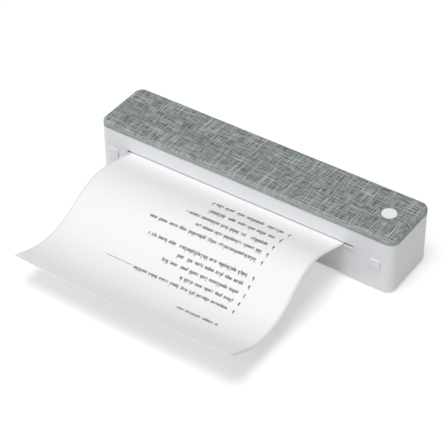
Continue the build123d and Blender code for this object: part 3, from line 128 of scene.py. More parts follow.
def background_share(tree):
    """1 for a ray that shows the background, straight or by way of metal or glass, and 0 for the rest."""
    path = tree.nodes.new("ShaderNodeLightPath")
    share = path.outputs["Is Camera Ray"]
    for kind in ("Is Glossy Ray", "Is Transmission Ray"):
        add = tree.nodes.new("ShaderNodeMath")
        add.operation, add.use_clamp = "ADD", True
        wire(tree, share, add.inputs[0])
        wire(tree, path.outputs[kind], add.inputs[1])
        share = add.outputs[0]
    return share


def show_background(tree, out, plain, seen):
    """Gives the output the plain shader, except for the rays that show the background."""
    mix = tree.nodes.new("ShaderNodeMixShader")
    for value, socket in zip((background_share(tree), plain.outputs[0], seen.outputs[0]), mix.inputs):
        wire(tree, value, socket)
    wire(tree, mix.outputs[0], out.inputs["Surface"])


def make_light():
    """A pale sky, lighter in front and darker at the right, and one wide soft lamp from above."""
    world = bpy.data.worlds.new("studio")
    bpy.context.scene.world = world
    world.use_nodes = True
    tree = world.node_tree
    tree.nodes.clear()
    out = tree.nodes.new("ShaderNodeOutputWorld")
    towards = tree.nodes.new("ShaderNodeSeparateXYZ")
    wire(tree, tree.nodes.new("ShaderNodeTexCoord").outputs["Generated"], towards.inputs[0])
    strength = SKY
    for along, fall in ((towards.outputs["X"], SKY_FALL_RIGHT), (towards.outputs["Y"], SKY_FALL_BACK)):
        less = tree.nodes.new("ShaderNodeMath")
        less.operation, less.use_clamp = "MULTIPLY_ADD", True
        for value, socket in zip((along, -fall, strength), less.inputs):
            wire(tree, value, socket)
        strength = less.outputs[0]
    lit, seen = tree.nodes.new("ShaderNodeBackground"), tree.nodes.new("ShaderNodeBackground")
    lit.inputs["Color"].default_value = SKY_COLOUR
    wire(tree, strength, lit.inputs["Strength"])
    seen.inputs["Color"].default_value = FULL_WHITE
    seen.inputs["Strength"].default_value = 1.0
    show_background(tree, out, lit, seen)
    lamp = bpy.data.lights.new("softbox", "SUN")
    lamp.energy = LAMP
    lamp.angle = math.radians(LAMP_DEGREES)
    lamp.color = LAMP_COLOUR
    sun = bpy.data.objects.new("softbox", lamp)
    sun.rotation_mode = "QUATERNION"
    sun.rotation_quaternion = Vector(LAMP_FROM).to_track_quat("Z", "Y")
    bpy.context.scene.collection.objects.link(sun)


def make_floor():
    """A plain pale floor: white where nothing shades it, and it keeps the object's shadow."""
    mesh = bpy.data.meshes.new("floor")
    corners = [(-1, -1), (1, -1), (1, 1), (-1, 1)]
    mesh.from_pydata([(x * FLOOR_HALF, y * FLOOR_HALF, 0) for x, y in corners], [], [(0, 1, 2, 3)])
    floor = bpy.data.objects.new("floor", mesh)
    bpy.context.scene.collection.objects.link(floor)
    paint = bpy.data.materials.new("floor")
    paint.use_nodes = True
    tree = paint.node_tree
    tree.nodes.clear()
    out = tree.nodes.new("ShaderNodeOutputMaterial")
    plain, shaded = tree.nodes.new("ShaderNodeBsdfDiffuse"), tree.nodes.new("ShaderNodeBsdfDiffuse")
    plain.inputs["Color"].default_value = (FLOOR_GREY, FLOOR_GREY, FLOOR_GREY, 1)
    shaded.inputs["Color"].default_value = (FLOOR_SEEN, FLOOR_SEEN, FLOOR_SEEN, 1)
    glow = tree.nodes.new("ShaderNodeEmission")
    glow.inputs["Strength"].default_value = FLOOR_GLOW
    seen = tree.nodes.new("ShaderNodeAddShader")
    wire(tree, shaded.outputs[0], seen.inputs[0])
    wire(tree, glow.outputs[0], seen.inputs[1])
    show_background(tree, out, plain, seen)
    mesh.materials.append(paint)


# ---------------------------------------------------------------- materials
class Finish:
    """One procedural material, with short calls for the nodes that shade it."""

    def __init__(self, name, colour, roughness, metallic=0.0, **sockets):
        self.material = bpy.data.materials.new(name)
        self.material.use_nodes = True
        self.tree = self.material.node_tree
        self.shader = self.tree.nodes["Principled BSDF"]
        self.shader.inputs["Base Color"].default_value = (*colour, 1)
        self.shader.inputs["Roughness"].default_value = roughness
        self.shader.inputs["Metallic"].default_value = metallic
        for socket, value in sockets.items():
            self.shader.inputs[socket.replace("_", " ")].default_value = value

    def node(self, kind, **settings):
        """A new node with these settings."""
        made = self.tree.nodes.new(kind)
        for key, value in settings.items():
            setattr(made, key, value)
        return made

    def wire(self, value, socket):
        wire(self.tree, value, socket)

    def place(self):
        """A point's place on its own object, in metres, which is its place on the whole part at rest."""
        return self.node("ShaderNodeTexCoord").outputs["Object"]

    def attribute(self, name):
        """The vector that the mesh carries at each point under this name."""
        return self.node("ShaderNodeAttribute", attribute_name=name).outputs["Vector"]

    def stretch(self, vector, by, turn=(0, 0, 0)):
        """The vector turned and scaled, for a pattern that is longer one way."""
        made = self.node("ShaderNodeMapping")
        self.wire(vector, made.inputs["Vector"])
        made.inputs["Rotation"].default_value = turn
        made.inputs["Scale"].default_value = by
        return made.outputs[0]

    def noise(self, vector, scale=1.0, detail=2.0, roughness=0.5):
        made = self.node("ShaderNodeTexNoise")
        self.wire(vector, made.inputs["Vector"])
        for socket, value in (("Scale", scale), ("Detail", detail), ("Roughness", roughness)):
            made.inputs[socket].default_value = value
        return made.outputs[0]

    def math(self, operation, first, second=0.0, third=0.0):
        made = self.node("ShaderNodeMath", operation=operation)
        for value, socket in zip((first, second, third), made.inputs):
            self.wire(value, socket)
        return made.outputs[0]

    def both(self, first, second):
        return self.math("MULTIPLY", first, second)

    def between(self, value, low, high):
        """1 where the value lies between the two limits, else 0."""
        return self.both(self.math("GREATER_THAN", value, low), self.math("LESS_THAN", value, high))

    def range(self, value, low, high, to_low=0.0, to_high=1.0):
        """The value drawn from one span of numbers to another, and held at its ends."""
        made = self.node("ShaderNodeMapRange")
        for number, socket in zip((value, low, high, to_low, to_high), made.inputs):
            self.wire(number, socket)
        return made.outputs[0]

    def split(self, vector):
        made = self.node("ShaderNodeSeparateXYZ")
        self.wire(vector, made.inputs[0])
        return made.outputs

    def join(self, x, y, z=0.0):
        made = self.node("ShaderNodeCombineXYZ")
        for value, socket in zip((x, y, z), made.inputs):
            self.wire(value, socket)
        return made.outputs[0]

    def blend(self, share, first, second):
        """A colour between two, by a share from 0 to 1."""
        made = self.node("ShaderNodeMix", data_type="RGBA")
        self.wire(share, made.inputs[0])
        for colour, socket in ((first, made.inputs[6]), (second, made.inputs[7])):
            self.wire((*colour, 1) if isinstance(colour, tuple) else colour, socket)
        return made.outputs[2]

    def colour(self, value):
        self.wire(value, self.shader.inputs["Base Color"])

    def roughness(self, value):
        self.wire(value, self.shader.inputs["Roughness"])

    def ends(self, least):
        """1 where the surface faces along X, by more than this share, else 0."""
        normal = self.split(self.node("ShaderNodeNewGeometry").outputs["Normal"])
        return self.math("GREATER_THAN", self.math("ABSOLUTE", normal[0]), least)

    def relief(self, height, depth, strength=1.0):
        """Bump of this height pattern, depth metres deep."""
        made = self.node("ShaderNodeBump")
        made.inputs["Strength"].default_value = strength
        made.inputs["Distance"].default_value = depth
        self.wire(height, made.inputs["Height"])
        self.wire(made.outputs[0], self.shader.inputs["Normal"])


def scaled(colour, by):
    """The colour, lighter or darker by a factor."""
    return tuple(min(1.0, channel * by) for channel in colour)


def moulded(name, colour, roughness=0.4, grain=0.00003, cloud=0.03, **sockets):
    """Moulded plastic: a fine spark texture, a faint drift of tone and a little change of gloss."""
    finish = Finish(name, colour, roughness, **sockets)
    place = finish.place()
    drift = finish.noise(place, scale=45, detail=3)
    finish.colour(finish.blend(drift, scaled(colour, 1 - cloud), scaled(colour, 1 + cloud)))
    gloss = finish.noise(place, scale=260, detail=3)
    finish.roughness(finish.range(gloss, 0.3, 0.7, roughness - 0.05, roughness + 0.06))
    finish.relief(finish.noise(place, scale=2600, detail=2, roughness=0.6), depth=grain, strength=0.6)
    return finish.material


def rubber(name, colour):
    """Matt rubber with dusty patches."""
    finish = Finish(name, colour, 0.75)
    place = finish.place()
    dust = finish.noise(place, scale=160, detail=4)
    finish.colour(finish.blend(dust, scaled(colour, 0.8), scaled(colour, 1.25)))
    finish.relief(finish.noise(place, scale=1800, detail=3, roughness=0.7), depth=0.00005, strength=0.7)
    return finish.material


def metal(name, colour, roughness, brush, stained=0.12):
    """Rolled or turned metal, brushed along the axis whose number in brush is small."""
    finish = Finish(name, colour, roughness, metallic=1.0)
    place = finish.place()
    lines = finish.noise(finish.stretch(place, brush), detail=4, roughness=0.6)
    stain = finish.noise(place, scale=120, detail=4, roughness=0.6)
    finish.colour(finish.blend(stain, scaled(colour, 1 - stained), scaled(colour, 1 + stained)))
    finish.roughness(finish.range(lines, 0.3, 0.7, max(0.05, roughness - 0.1), roughness + 0.12))
    finish.relief(lines, depth=0.00001, strength=0.5)
    return finish.material


def woven():
    """Heathered linen-look cloth.

    Its threads run along X and Y of the flat cloth, which the mesh carries in metres in the attribute
    "weave". The third value there is 0 on the top and 1 on the side, where the cloth looks paler."""
    warp_pitch, weft_pitch, sway_turn = 2.15 * MM, 2.5 * MM, 2.5
    dark, pale, slub_colour = (0.06, 0.08, 0.075), (0.405, 0.44, 0.43), (0.60, 0.64, 0.63)
    # The tones that come out wholly dark and wholly pale, and the noise at which a slub starts and is whole.
    darkest, palest = 0.405, 0.67
    slub_least, slub_full, slub_share = 0.67, 0.72, 0.7
    finish = Finish("heather_cloth", (0.25, 0.26, 0.255), 0.92, Sheen_Weight=0.12, Sheen_Roughness=0.5)
    finish.shader.inputs["Specular IOR Level"].default_value = 0.2
    flat = finish.attribute("weave")
    x, y, side = finish.split(flat)
    thread_x = finish.noise(finish.stretch(flat, (100, 1150, 0)), detail=1, roughness=0.6)
    thread_y = finish.noise(finish.stretch(flat, (1300, 100, 0)), detail=1, roughness=0.6)
    threads = finish.both(finish.math("ADD", thread_x, thread_y), 0.5)
    sway = finish.both(finish.noise(flat, scale=40, detail=1), sway_turn)
    warp = finish.math("SINE", finish.math("MULTIPLY_ADD", x, 2 * math.pi / warp_pitch, sway))
    weft = finish.math("SINE", finish.math("MULTIPLY_ADD", y, 2 * math.pi / weft_pitch, sway))
    knots = finish.math("MAXIMUM", warp, weft)
    blotch = finish.math("SUBTRACT", finish.noise(flat, scale=70, detail=3, roughness=0.55), 0.5)
    tone = threads
    for pattern, share in ((knots, 0.08), (blotch, 0.035), (side, 0.125)):
        tone = finish.math("MULTIPLY_ADD", pattern, share, tone)
    slubs = [
        finish.range(finish.noise(finish.stretch(flat, by), detail=0), slub_least, slub_full)
        for by in ((26, 1200, 0), (1400, 26, 0))
    ]
    slub = finish.math("MAXIMUM", *slubs)
    cloth = finish.blend(finish.range(tone, darkest, palest), dark, pale)
    finish.colour(finish.blend(finish.both(slub, slub_share), cloth, slub_colour))
    height = finish.math("MULTIPLY_ADD", knots, 0.3, threads)
    height = finish.math("MULTIPLY_ADD", slub, 0.4, height)
    finish.relief(height, depth=0.00025, strength=0.55)
    return finish.material


# The sheet's printing, in millimetres from the slot and across from the sheet's right edge. Each row is its
# distance from the slot, where it starts and ends, and the height of a small letter. MARKER is the place of
# the first column, LETTER the room for one letter, and WORD the letters in a word with the space after it. A
# row that starts at MARKER has one letter there before its words. RULE is the ruled line: its distance from
# the slot, where it starts and ends, and its thickness.
MARKER, LETTER, WORD = 35.5, 1.69, 5.6
ROWS = [
    (137.0, 38.0, 76.0, 2.2),
    (117.4, MARKER, 131.0, 2.2),
    (109.3, MARKER, 92.0, 2.2),
    (101.2, MARKER, 114.0, 2.2),
    (93.4, MARKER, 104.0, 2.2),
    (85.8, MARKER, 137.0, 2.2),
    (71.6, MARKER, 145.0, 2.2),
    (63.2, MARKER, 106.0, 2.3),
    (54.4, MARKER, 119.0, 2.5),
    (43.4, MARKER, 104.0, 3.0),
    (29.5, MARKER, 110.0, 3.6),
]
RULE = (117.6, 133.0, 158.0, 0.4)


def printed_paper():
    """White thermal paper with rows of small dark strokes that only look like writing.

    The attribute "page" holds millimetres from the sheet's right edge and from the slot."""
    # Each letter's strokes, in shares of its width and of a small letter's height.
    stem_across, leg_across, bars_across = (0.06, 0.40), (0.56, 0.88), (0.06, 0.88)
    top_up, middle_up, foot_up = (0.76, 1.0), (0.40, 0.58), (0.0, 0.24)
    small_height, tall_height, deep_depth, lowest, highest = 1.0, 1.7, -0.5, -0.6, 1.8
    # How the chances from 0 to 1 of a letter decide what it has.
    tall_over, deep_under, leg_over, top_over, foot_under, middle_under = 0.72, 0.14, 0.3, 0.15, 0.75, 0.5
    letter_drift, row_drift, drift_by, indent, ink_share = 0.17, 7.3, 1.2, 4.0, 0.97
    finish = Finish("printed_paper", PAPER, 0.55)
    finish.shader.inputs["Specular IOR Level"].default_value = 0.35
    across, along, _ = finish.split(finish.attribute("page"))
    # For each point: its row's number, its height in that row, whether it is in a row, and whether that row
    # has a marker.
    row, rise, written, marked = 0.0, 0.0, 0.0, 0.0
    for number, (place, start, end, small) in enumerate(ROWS, 1):
        height = finish.math("DIVIDE", finish.math("SUBTRACT", along, place), small)
        here = finish.both(finish.between(height, lowest, highest), finish.between(across, start, end))
        row = finish.math("MULTIPLY_ADD", here, float(number), row)
        rise = finish.math("MULTIPLY_ADD", here, height, rise)
        written = finish.math("ADD", written, here)
        if start == MARKER:
            marked = finish.math("ADD", marked, here)
    letters = finish.math("DIVIDE", finish.math("SUBTRACT", across, MARKER), LETTER)
    letter = finish.math("FLOOR", letters)
    inside = finish.math("SUBTRACT", letters, letter)
    # Three chances for each letter choose which of its strokes are drawn, and whether it is tall or deep.
    dice = finish.node("ShaderNodeTexWhiteNoise", noise_dimensions="2D")
    finish.wire(finish.join(letter, row), dice.inputs["Vector"])
    first, second, third = finish.split(dice.outputs["Color"])
    marker = finish.math("LESS_THAN", letters, 1.0)
    tall = finish.math("MAXIMUM", finish.math("GREATER_THAN", second, tall_over), marker)
    tall = finish.range(tall, 0, 1, small_height, tall_height)
    deep = finish.range(finish.math("LESS_THAN", second, deep_under), 0, 1, 0.0, deep_depth)
    stem = finish.both(finish.between(inside, *stem_across), finish.between(rise, deep, tall))
    leg = finish.both(finish.between(inside, *leg_across), finish.between(rise, 0.0, small_height))
    leg = finish.both(leg, finish.math("GREATER_THAN", third, leg_over))
    top = finish.both(finish.between(rise, *top_up), finish.math("GREATER_THAN", third, top_over))
    foot = finish.both(finish.between(rise, *foot_up), finish.math("LESS_THAN", third, foot_under))
    middle = finish.both(finish.between(rise, *middle_up), finish.math("LESS_THAN", first, middle_under))
    bars = finish.math("MAXIMUM", finish.math("MAXIMUM", top, foot), middle)
    bars = finish.both(bars, finish.between(inside, *bars_across))
    ink = finish.math("MAXIMUM", finish.math("MAXIMUM", stem, leg), bars)
    # The spaces between the words drift from row to row, so that they don't line up.
    drift = finish.noise(finish.join(finish.both(letter, letter_drift), finish.both(row, row_drift)))
    phase = finish.math("MULTIPLY_ADD", drift, drift_by, finish.math("DIVIDE", letter, WORD))
    word = finish.math("GREATER_THAN", finish.math("FRACT", phase), 1 / WORD)
    indented = finish.both(finish.math("LESS_THAN", letters, indent), marked)
    word = finish.both(word, finish.math("SUBTRACT", 1.0, indented))
    ink = finish.both(finish.both(ink, written), finish.math("MAXIMUM", word, marker))
    place, start, end, thick = RULE
    rule = finish.both(finish.between(along, place, place + thick), finish.between(across, start, end))
    ink = finish.both(finish.math("MAXIMUM", ink, rule), ink_share)
    fibre = finish.noise(finish.place(), scale=900, detail=3, roughness=0.6)
    plain = finish.blend(fibre, scaled(PAPER, 0.992), scaled(PAPER, 1.006))
    finish.colour(finish.blend(ink, plain, (0.012, 0.012, 0.014)))
    finish.relief(fibre, depth=0.00002, strength=0.35)
    return finish.material


def wound_paper():
    """The roll: its ends show the edges of the layers as fine rings."""
    rings_per_metre, end_facing, ring_colour = 5200.0, 0.7, (0.52, 0.53, 0.54)
    finish = Finish("wound_paper", PAPER, 0.6)
    _, y, z = finish.split(finish.place())
    away_y = finish.math("POWER", finish.math("SUBTRACT", y, ROLL_Y), 2.0)
    away_z = finish.math("POWER", finish.math("SUBTRACT", z, ROLL_Z), 2.0)
    away = finish.math("SQRT", finish.math("ADD", away_y, away_z))
    rings = finish.noise(finish.join(finish.both(away, rings_per_metre), 0.0), detail=3, roughness=0.7)
    end = finish.ends(end_facing)
    shade = finish.both(finish.range(rings, 0.35, 0.65), end)
    finish.colour(finish.blend(shade, PAPER, ring_colour))
    finish.relief(finish.both(rings, end), depth=0.00008, strength=0.6)
    return finish.material


def card():
    """The roll's core: grey board wound from a strip, so that a seam runs round it."""
    finish = Finish("grey_card", (0.42, 0.36, 0.28), 0.85)
    place = finish.place()
    wrap = finish.node("ShaderNodeTexWave", wave_type="BANDS", bands_direction="X")
    finish.wire(finish.stretch(place, (1, 0.6, 0.6), turn=(0, 0.5, 0)), wrap.inputs["Vector"])
    wrap.inputs["Scale"].default_value = 14
    wrap.inputs["Distortion"].default_value = 0.4
    seam = finish.both(finish.range(wrap.outputs[1], 0.9, 0.98), 0.5)
    fibre = finish.noise(finish.stretch(place, (300, 1500, 1500)), detail=4, roughness=0.7)
    board = finish.blend(fibre, (0.33, 0.28, 0.21), (0.5, 0.43, 0.34))
    finish.colour(finish.blend(seam, board, (0.2, 0.17, 0.13)))
    finish.relief(fibre, depth=0.00006, strength=0.6)
    return finish.material


def circuit_board():
    """Green solder mask with faint tracks under it and tinned pads."""
    finish = Finish("circuit_board", (0.01, 0.14, 0.06), 0.3, Coat_Weight=0.3)
    place = finish.place()
    tracks = finish.node("ShaderNodeTexVoronoi", feature="DISTANCE_TO_EDGE", distance="MANHATTAN")
    pads = finish.node("ShaderNodeTexVoronoi")
    for cells, density in ((tracks, 420), (pads, 520)):
        finish.wire(finish.stretch(place, (density, density, 0)), cells.inputs["Vector"])
        cells.inputs["Scale"].default_value = 1.0
    line = finish.range(tracks.outputs["Distance"], 0.06, 0.10, 1, 0)
    pad = finish.range(pads.outputs["Distance"], 0.11, 0.13, 1, 0)
    mask = finish.blend(line, (0.008, 0.10, 0.045), (0.02, 0.24, 0.10))
    finish.colour(finish.blend(pad, mask, (0.62, 0.60, 0.54)))
    finish.relief(finish.math("MAXIMUM", line, pad), depth=0.00004, strength=0.6)
    return finish.material


def cell_wrap():
    """A shrink sleeve over the cell, with its bare steel ends."""
    end_facing, steel = 0.8, (0.62, 0.62, 0.60)
    finish = Finish("cell_wrap", (0.05, 0.20, 0.42), 0.28)
    place = finish.place()
    end = finish.ends(end_facing)
    sleeve = finish.blend(finish.noise(place, scale=200, detail=3), (0.045, 0.18, 0.38), (0.06, 0.23, 0.47))
    finish.colour(finish.blend(end, sleeve, steel))
    finish.wire(end, finish.shader.inputs["Metallic"])
    finish.relief(finish.noise(finish.stretch(place, (60, 500, 500)), detail=2), depth=0.00003, strength=0.4)
    return finish.material


def print_head_face():
    """The head's ceramic: a dark heater line on its glaze, fine leads, and a black band over the drivers."""
    glaze_half, heater_half, leads_end, band_end = 0.8 * MM, 0.12 * MM, 2.0 * MM, 4.4 * MM
    lead_pitch = 0.5 * MM
    ceramic, glaze = (0.66, 0.65, 0.60), (0.36, 0.32, 0.27)
    leads, epoxy = (0.50, 0.47, 0.40), (0.02, 0.02, 0.022)
    finish = Finish("head_ceramic", ceramic, 0.25)
    place = finish.place()
    x, y, _ = finish.split(place)
    across = finish.math("SUBTRACT", y, PLATEN_Y)
    away = finish.math("ABSOLUTE", across)
    comb = finish.math("SINE", finish.both(x, 2 * math.pi / lead_pitch))
    comb = finish.both(finish.math("GREATER_THAN", comb, 0.0), finish.between(across, glaze_half, leads_end))
    cloud = finish.noise(place, scale=45, detail=3)
    face = finish.blend(cloud, scaled(ceramic, 0.97), scaled(ceramic, 1.03))
    face = finish.blend(comb, face, leads)
    face = finish.blend(finish.math("LESS_THAN", away, glaze_half), face, glaze)
    face = finish.blend(finish.math("LESS_THAN", away, heater_half), face, epoxy)
    face = finish.blend(finish.between(across, leads_end, band_end), face, epoxy)
    finish.colour(face)
    finish.relief(finish.noise(place, scale=2600, detail=2, roughness=0.6), depth=0.00001, strength=0.6)
    return finish.material


def film_cable():
    """A flat cable: pale film with its copper conductors side by side along it.

    The attribute "strip" runs from 0 to 1 across the cable."""
    conductors, bare_edge = 14, 0.04
    finish = Finish("film_cable", (0.7, 0.72, 0.73), 0.3, Coat_Weight=0.4)
    across = finish.split(finish.attribute("strip"))[0]
    waves = finish.math("SINE", finish.both(across, 2 * math.pi * conductors))
    off_middle = finish.math("ABSOLUTE", finish.math("SUBTRACT", across, 0.5))
    edge = finish.math("GREATER_THAN", off_middle, 0.5 - bare_edge)
    line = finish.both(finish.range(waves, 0.0, 0.5), finish.math("SUBTRACT", 1.0, edge))
    finish.colour(finish.blend(line, (0.74, 0.76, 0.77), (0.50, 0.36, 0.24)))
    finish.relief(line, depth=0.00005, strength=0.7)
    return finish.material


# The finish of each material slot. For plastic: its roughness, the depth of its grain in metres, and the
# drift of its tone. For metal: its roughness, and how close its brushed lines lie along X, Y and Z.
finishes = {
    "white_shell": moulded("white_shell", WHITE, 0.36, 0.00002, 0.012),
    "white_inner": moulded("white_inner", (0.79, 0.80, 0.818), 0.45),
    "white_button": moulded("white_button", (0.826, 0.84, 0.858), 0.3, 0.00001, 0.01),
    "grey_plastic": moulded("grey_plastic", (0.16, 0.165, 0.17), 0.42, 0.00004, 0.08),
    "dark_plastic": moulded("dark_plastic", (0.03, 0.03, 0.032), 0.45, 0.00004, 0.15),
    "pale_plastic": moulded("pale_plastic", (0.62, 0.60, 0.54), 0.35, 0.00002, 0.05),
    "grey_fabric": woven(),
    "foot_rubber": rubber("foot_rubber", (0.25, 0.25, 0.25)),
    "platen_rubber": rubber("platen_rubber", (0.025, 0.025, 0.026)),
    "screw_steel": metal("screw_steel", (0.32, 0.32, 0.33), 0.32, (900, 900, 900)),
    "plate_steel": metal("plate_steel", (0.55, 0.56, 0.57), 0.38, (1500, 1500, 60)),
    "bright_steel": metal("bright_steel", (0.68, 0.68, 0.69), 0.2, (40, 1500, 1500)),
    "motor_can": metal("motor_can", (0.42, 0.43, 0.45), 0.35, (60, 900, 900)),
    "pinion_brass": metal("pinion_brass", (0.70, 0.50, 0.22), 0.3, (60, 900, 900)),
    "cable_film": film_cable(),
    "cell_sleeve": cell_wrap(),
    "board_green": circuit_board(),
    "chip_black": moulded("chip_black", (0.022, 0.022, 0.024), 0.55, 0.00004, 0.2),
    "white_paper": printed_paper(),
    "wound_paper": wound_paper(),
    "grey_card": card(),
    "sink_aluminium": metal("sink_aluminium", (0.66, 0.67, 0.68), 0.36, (30, 1200, 1200)),
    "head_ceramic": print_head_face(),
}


def dress_nodes():
    """Every carried-over CAD node takes the finish of its slot in the record."""
    for entry in frame["record"]["subparts"]:
        shown = nodes[entry["node"]]
        shown.data.materials.clear()
        shown.data.materials.append(finishes[entry["material_slot"]])


# ---------------------------------------------------------------- meshes
def make_object(name, points, faces, finish, smooth=True):
    """A mesh object in the scene, with one finish."""
    mesh = bpy.data.meshes.new(name)
    mesh.from_pydata([tuple(p) for p in points], [], faces)
    mesh.update()
    made = bpy.data.objects.new(name, mesh)
    bpy.context.scene.collection.objects.link(made)
    mesh.materials.append(finishes[finish])
    for face in mesh.polygons:
        face.use_smooth = smooth
    return made


def with_modifiers(made):
    """Replaces the object's mesh by the result of its modifiers."""
    graph = bpy.context.evaluated_depsgraph_get()
    result = bpy.data.meshes.new_from_object(made.evaluated_get(graph))
    made.modifiers.clear()
    made.data = result
    return made


def face_outwards(made):
    """Turns the faces of a closed mesh to its outside."""
    mesh = bmesh.new()
    mesh.from_mesh(made.data)
    bmesh.ops.recalc_face_normals(mesh, faces=mesh.faces)
    mesh.to_mesh(made.data)
    mesh.free()


def set_attribute(made, name, values):
    """Keeps a vector at each point of the mesh, for its material."""
    found = made.data.attributes.new(name, "FLOAT_VECTOR", "POINT")
    found.data.foreach_set("vector", np.asarray(values, np.float32).ravel())


def outline(inset, per_corner, per_end, per_side):
    """A ring round the body's rounded rectangle, drawn in by inset, with the same count at any inset."""
    least_radius = 0.15 * MM
    radius = max(CORNER - inset, least_radius)
    half_x, half_y = BODY_LENGTH / 2 - inset - radius, BODY_WIDTH / 2 - inset - radius
    ring = []
    corners = [(1, -1, -90), (1, 1, 0), (-1, 1, 90), (-1, -1, 180)]
    counts = [per_end, per_side, per_end, per_side]
    for (side_x, side_y, start), count, after in zip(corners, counts, corners[1:] + corners[:1]):
        centre = np.array([side_x * half_x, side_y * half_y])
        for step in range(per_corner + 1):
            angle = math.radians(start + 90 * step / per_corner)
            ring.append(centre + radius * np.array([math.cos(angle), math.sin(angle)]))
        angle = math.radians(start + 90)
        here = centre + radius * np.array([math.cos(angle), math.sin(angle)])
        there = np.array([after[0] * half_x, after[1] * half_y])
        there = there + radius * np.array([math.cos(angle), math.sin(angle)])
        for step in range(1, count):
            ring.append(here + (there - here) * step / count)
    return ring


def unfold(point):
    """The place on the flat cloth of a point of the lid's, and how far round its edge it is, from 0 to 1."""
    nothing = 1e-6
    x, y, z = point
    core = Vector((
        max(-BODY_LENGTH / 2 + CORNER, min(BODY_LENGTH / 2 - CORNER, x)),
        max(-BODY_WIDTH / 2 + CORNER, min(BODY_WIDTH / 2 - CORNER, y)),
    ))
    away = Vector((x, y)) - core
    inset = CORNER - away.length
    if inset >= FABRIC_EDGE or away.length < nothing:
        return (x, y, 0.0)
    centre_z = TOP_Z - FABRIC_EDGE
    if z > centre_z:
        drop = FABRIC_EDGE * math.atan2(FABRIC_EDGE - inset, z - centre_z)
    else:
        drop = FABRIC_EDGE * math.pi / 2 + centre_z - z
    flat = core + away.normalized() * (CORNER - FABRIC_EDGE + drop)
    return (flat.x, flat.y, min(1.0, drop / (FABRIC_EDGE * math.pi / 2)))


def make_fabric():
    """The cloth stretched over the lid, turned in at its lower edge and cut round the button."""
    per_corner, per_end, per_side, per_edge, per_top = 10, 40, 250, 9, 17
    cloth_thickness = 0.85 * MM
    # In millimetres: the hem's insets and heights over the cloth's lower edge, and then the insets of the
    # first and the last ring on top.
    hem = [(0.55, 0.03), (0.2, 0.1), (0.03, 0.4), (0.0, 1.1), (0.0, 1.9)]
    top_from, top_to = 4.5, 28.4
    profile = [(inset * MM, FABRIC_LOW + height * MM) for inset, height in hem]
    for step in range(per_edge + 1):
        angle = math.radians(90 * step / per_edge)
        profile.append((FABRIC_EDGE * (1 - math.cos(angle)), TOP_Z - FABRIC_EDGE * (1 - math.sin(angle))))
    profile += [(inset * MM, TOP_Z) for inset in np.linspace(top_from, top_to, per_top)]
    points, faces = [], []
    for inset, z in profile:
        points += [(p[0], p[1], z) for p in outline(inset, per_corner, per_end, per_side)]
    count = len(points) // len(profile)
    last = (len(profile) - 1) * count
    for below in range(0, last, count):
        above = below + count
        for i in range(count):
            j = (i + 1) % count
            faces.append((below + i, below + j, above + j, above + i))
    # The last ring is a narrow slit along X. Its two long sides are joined across, and its ends are closed.
    rear = 2 * per_corner + per_end
    front = 2 * rear + per_side
    for step in range(per_side):
        a, b = last + rear + step, last + rear + step + 1
        c, d = last + (front + per_side - step - 1) % count, last + (front + per_side - step) % count
        faces.append((a, b, c, d))
    right_end = [last + i % count for i in range(front + per_side - count, rear + 1)]
    left_end = [last + i for i in range(rear + per_side, front + 1)]
    faces += [tuple(right_end), tuple(left_end)]
    cloth = make_object("fabric_lid_cloth", points, faces, "grey_fabric")
    face_outwards(cloth)
    thick = cloth.modifiers.new("thickness", "SOLIDIFY")
    thick.thickness, thick.offset = cloth_thickness, -1
    cutter = make_cloth_cutter()
    cut = cloth.modifiers.new("hole", "BOOLEAN")
    cut.object, cut.operation, cut.solver = cutter, "DIFFERENCE", "MANIFOLD"
    with_modifiers(cloth)
    bpy.data.objects.remove(cutter)
    cloth.data.materials.clear()
    cloth.data.materials.append(finishes["grey_fabric"])
    set_attribute(cloth, "weave", [unfold(v.co) for v in cloth.data.vertices])
    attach(cloth, "lid")
    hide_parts("fabric_cover")


def make_cloth_cutter():
    """What the cloth is cut away for: the round button and the two hinge knuckles at the back."""
    points, faces, around = [], [], 64
    past = 2 * MM
    for z in (FABRIC_LOW, TOP_Z + past):
        for step in range(around):
            angle = 2 * math.pi * step / around
            across, back = BUTTON_HOLE * math.cos(angle), BUTTON_HOLE * math.sin(angle)
            points.append((BUTTON_X + across, back, z))
    for i in range(around):
        j = (i + 1) % around
        faces.append((i, j, around + j, around + i))
    faces += [tuple(range(around - 1, -1, -1)), tuple(range(around, 2 * around))]
    for centre in (-KNUCKLE_X, KNUCKLE_X):
        first = len(points)
        for x in (centre - KNUCKLE_GAP, centre + KNUCKLE_GAP):
            for y in (BODY_WIDTH / 2 - past, BODY_WIDTH / 2 + past):
                for z in (FABRIC_LOW - past, KNUCKLE_TOP):
                    points.append((x, y, z))
        for corners in ((0, 1, 3, 2), (4, 6, 7, 5), (0, 4, 5, 1), (2, 3, 7, 6), (0, 2, 6, 4), (1, 5, 7, 3)):
            faces.append(tuple(first + corner for corner in corners))
    cutter = make_object("cutter", points, faces, "grey_fabric", smooth=False)
    face_outwards(cutter)
    return cutter


# The sheet's two side edges, fitted to the photograph, from where the sheet leaves the slot: (length, 0) is
# a straight run and (radius, turn) a bend, in millimetres and degrees. A positive turn is towards the floor.
LEFT_EDGE = [(30, -15.2), (27.8, 0), (60.7, 43.1), (15.5, 0), (65.9, -48.1), (18.0, 0)]
RIGHT_EDGE = [(30, -19.0), (29.4, 0), (42.5, 56.2), (12.5, 0), (53.6, -64.5), (24.8, 0)]
EXIT_Y = -23 * MM


def edge_length(steps):
    """The length of one column of the sheet outside the slot, in millimetres."""
    return sum(size if turn == 0 else size * abs(math.radians(turn)) for size, turn in steps)


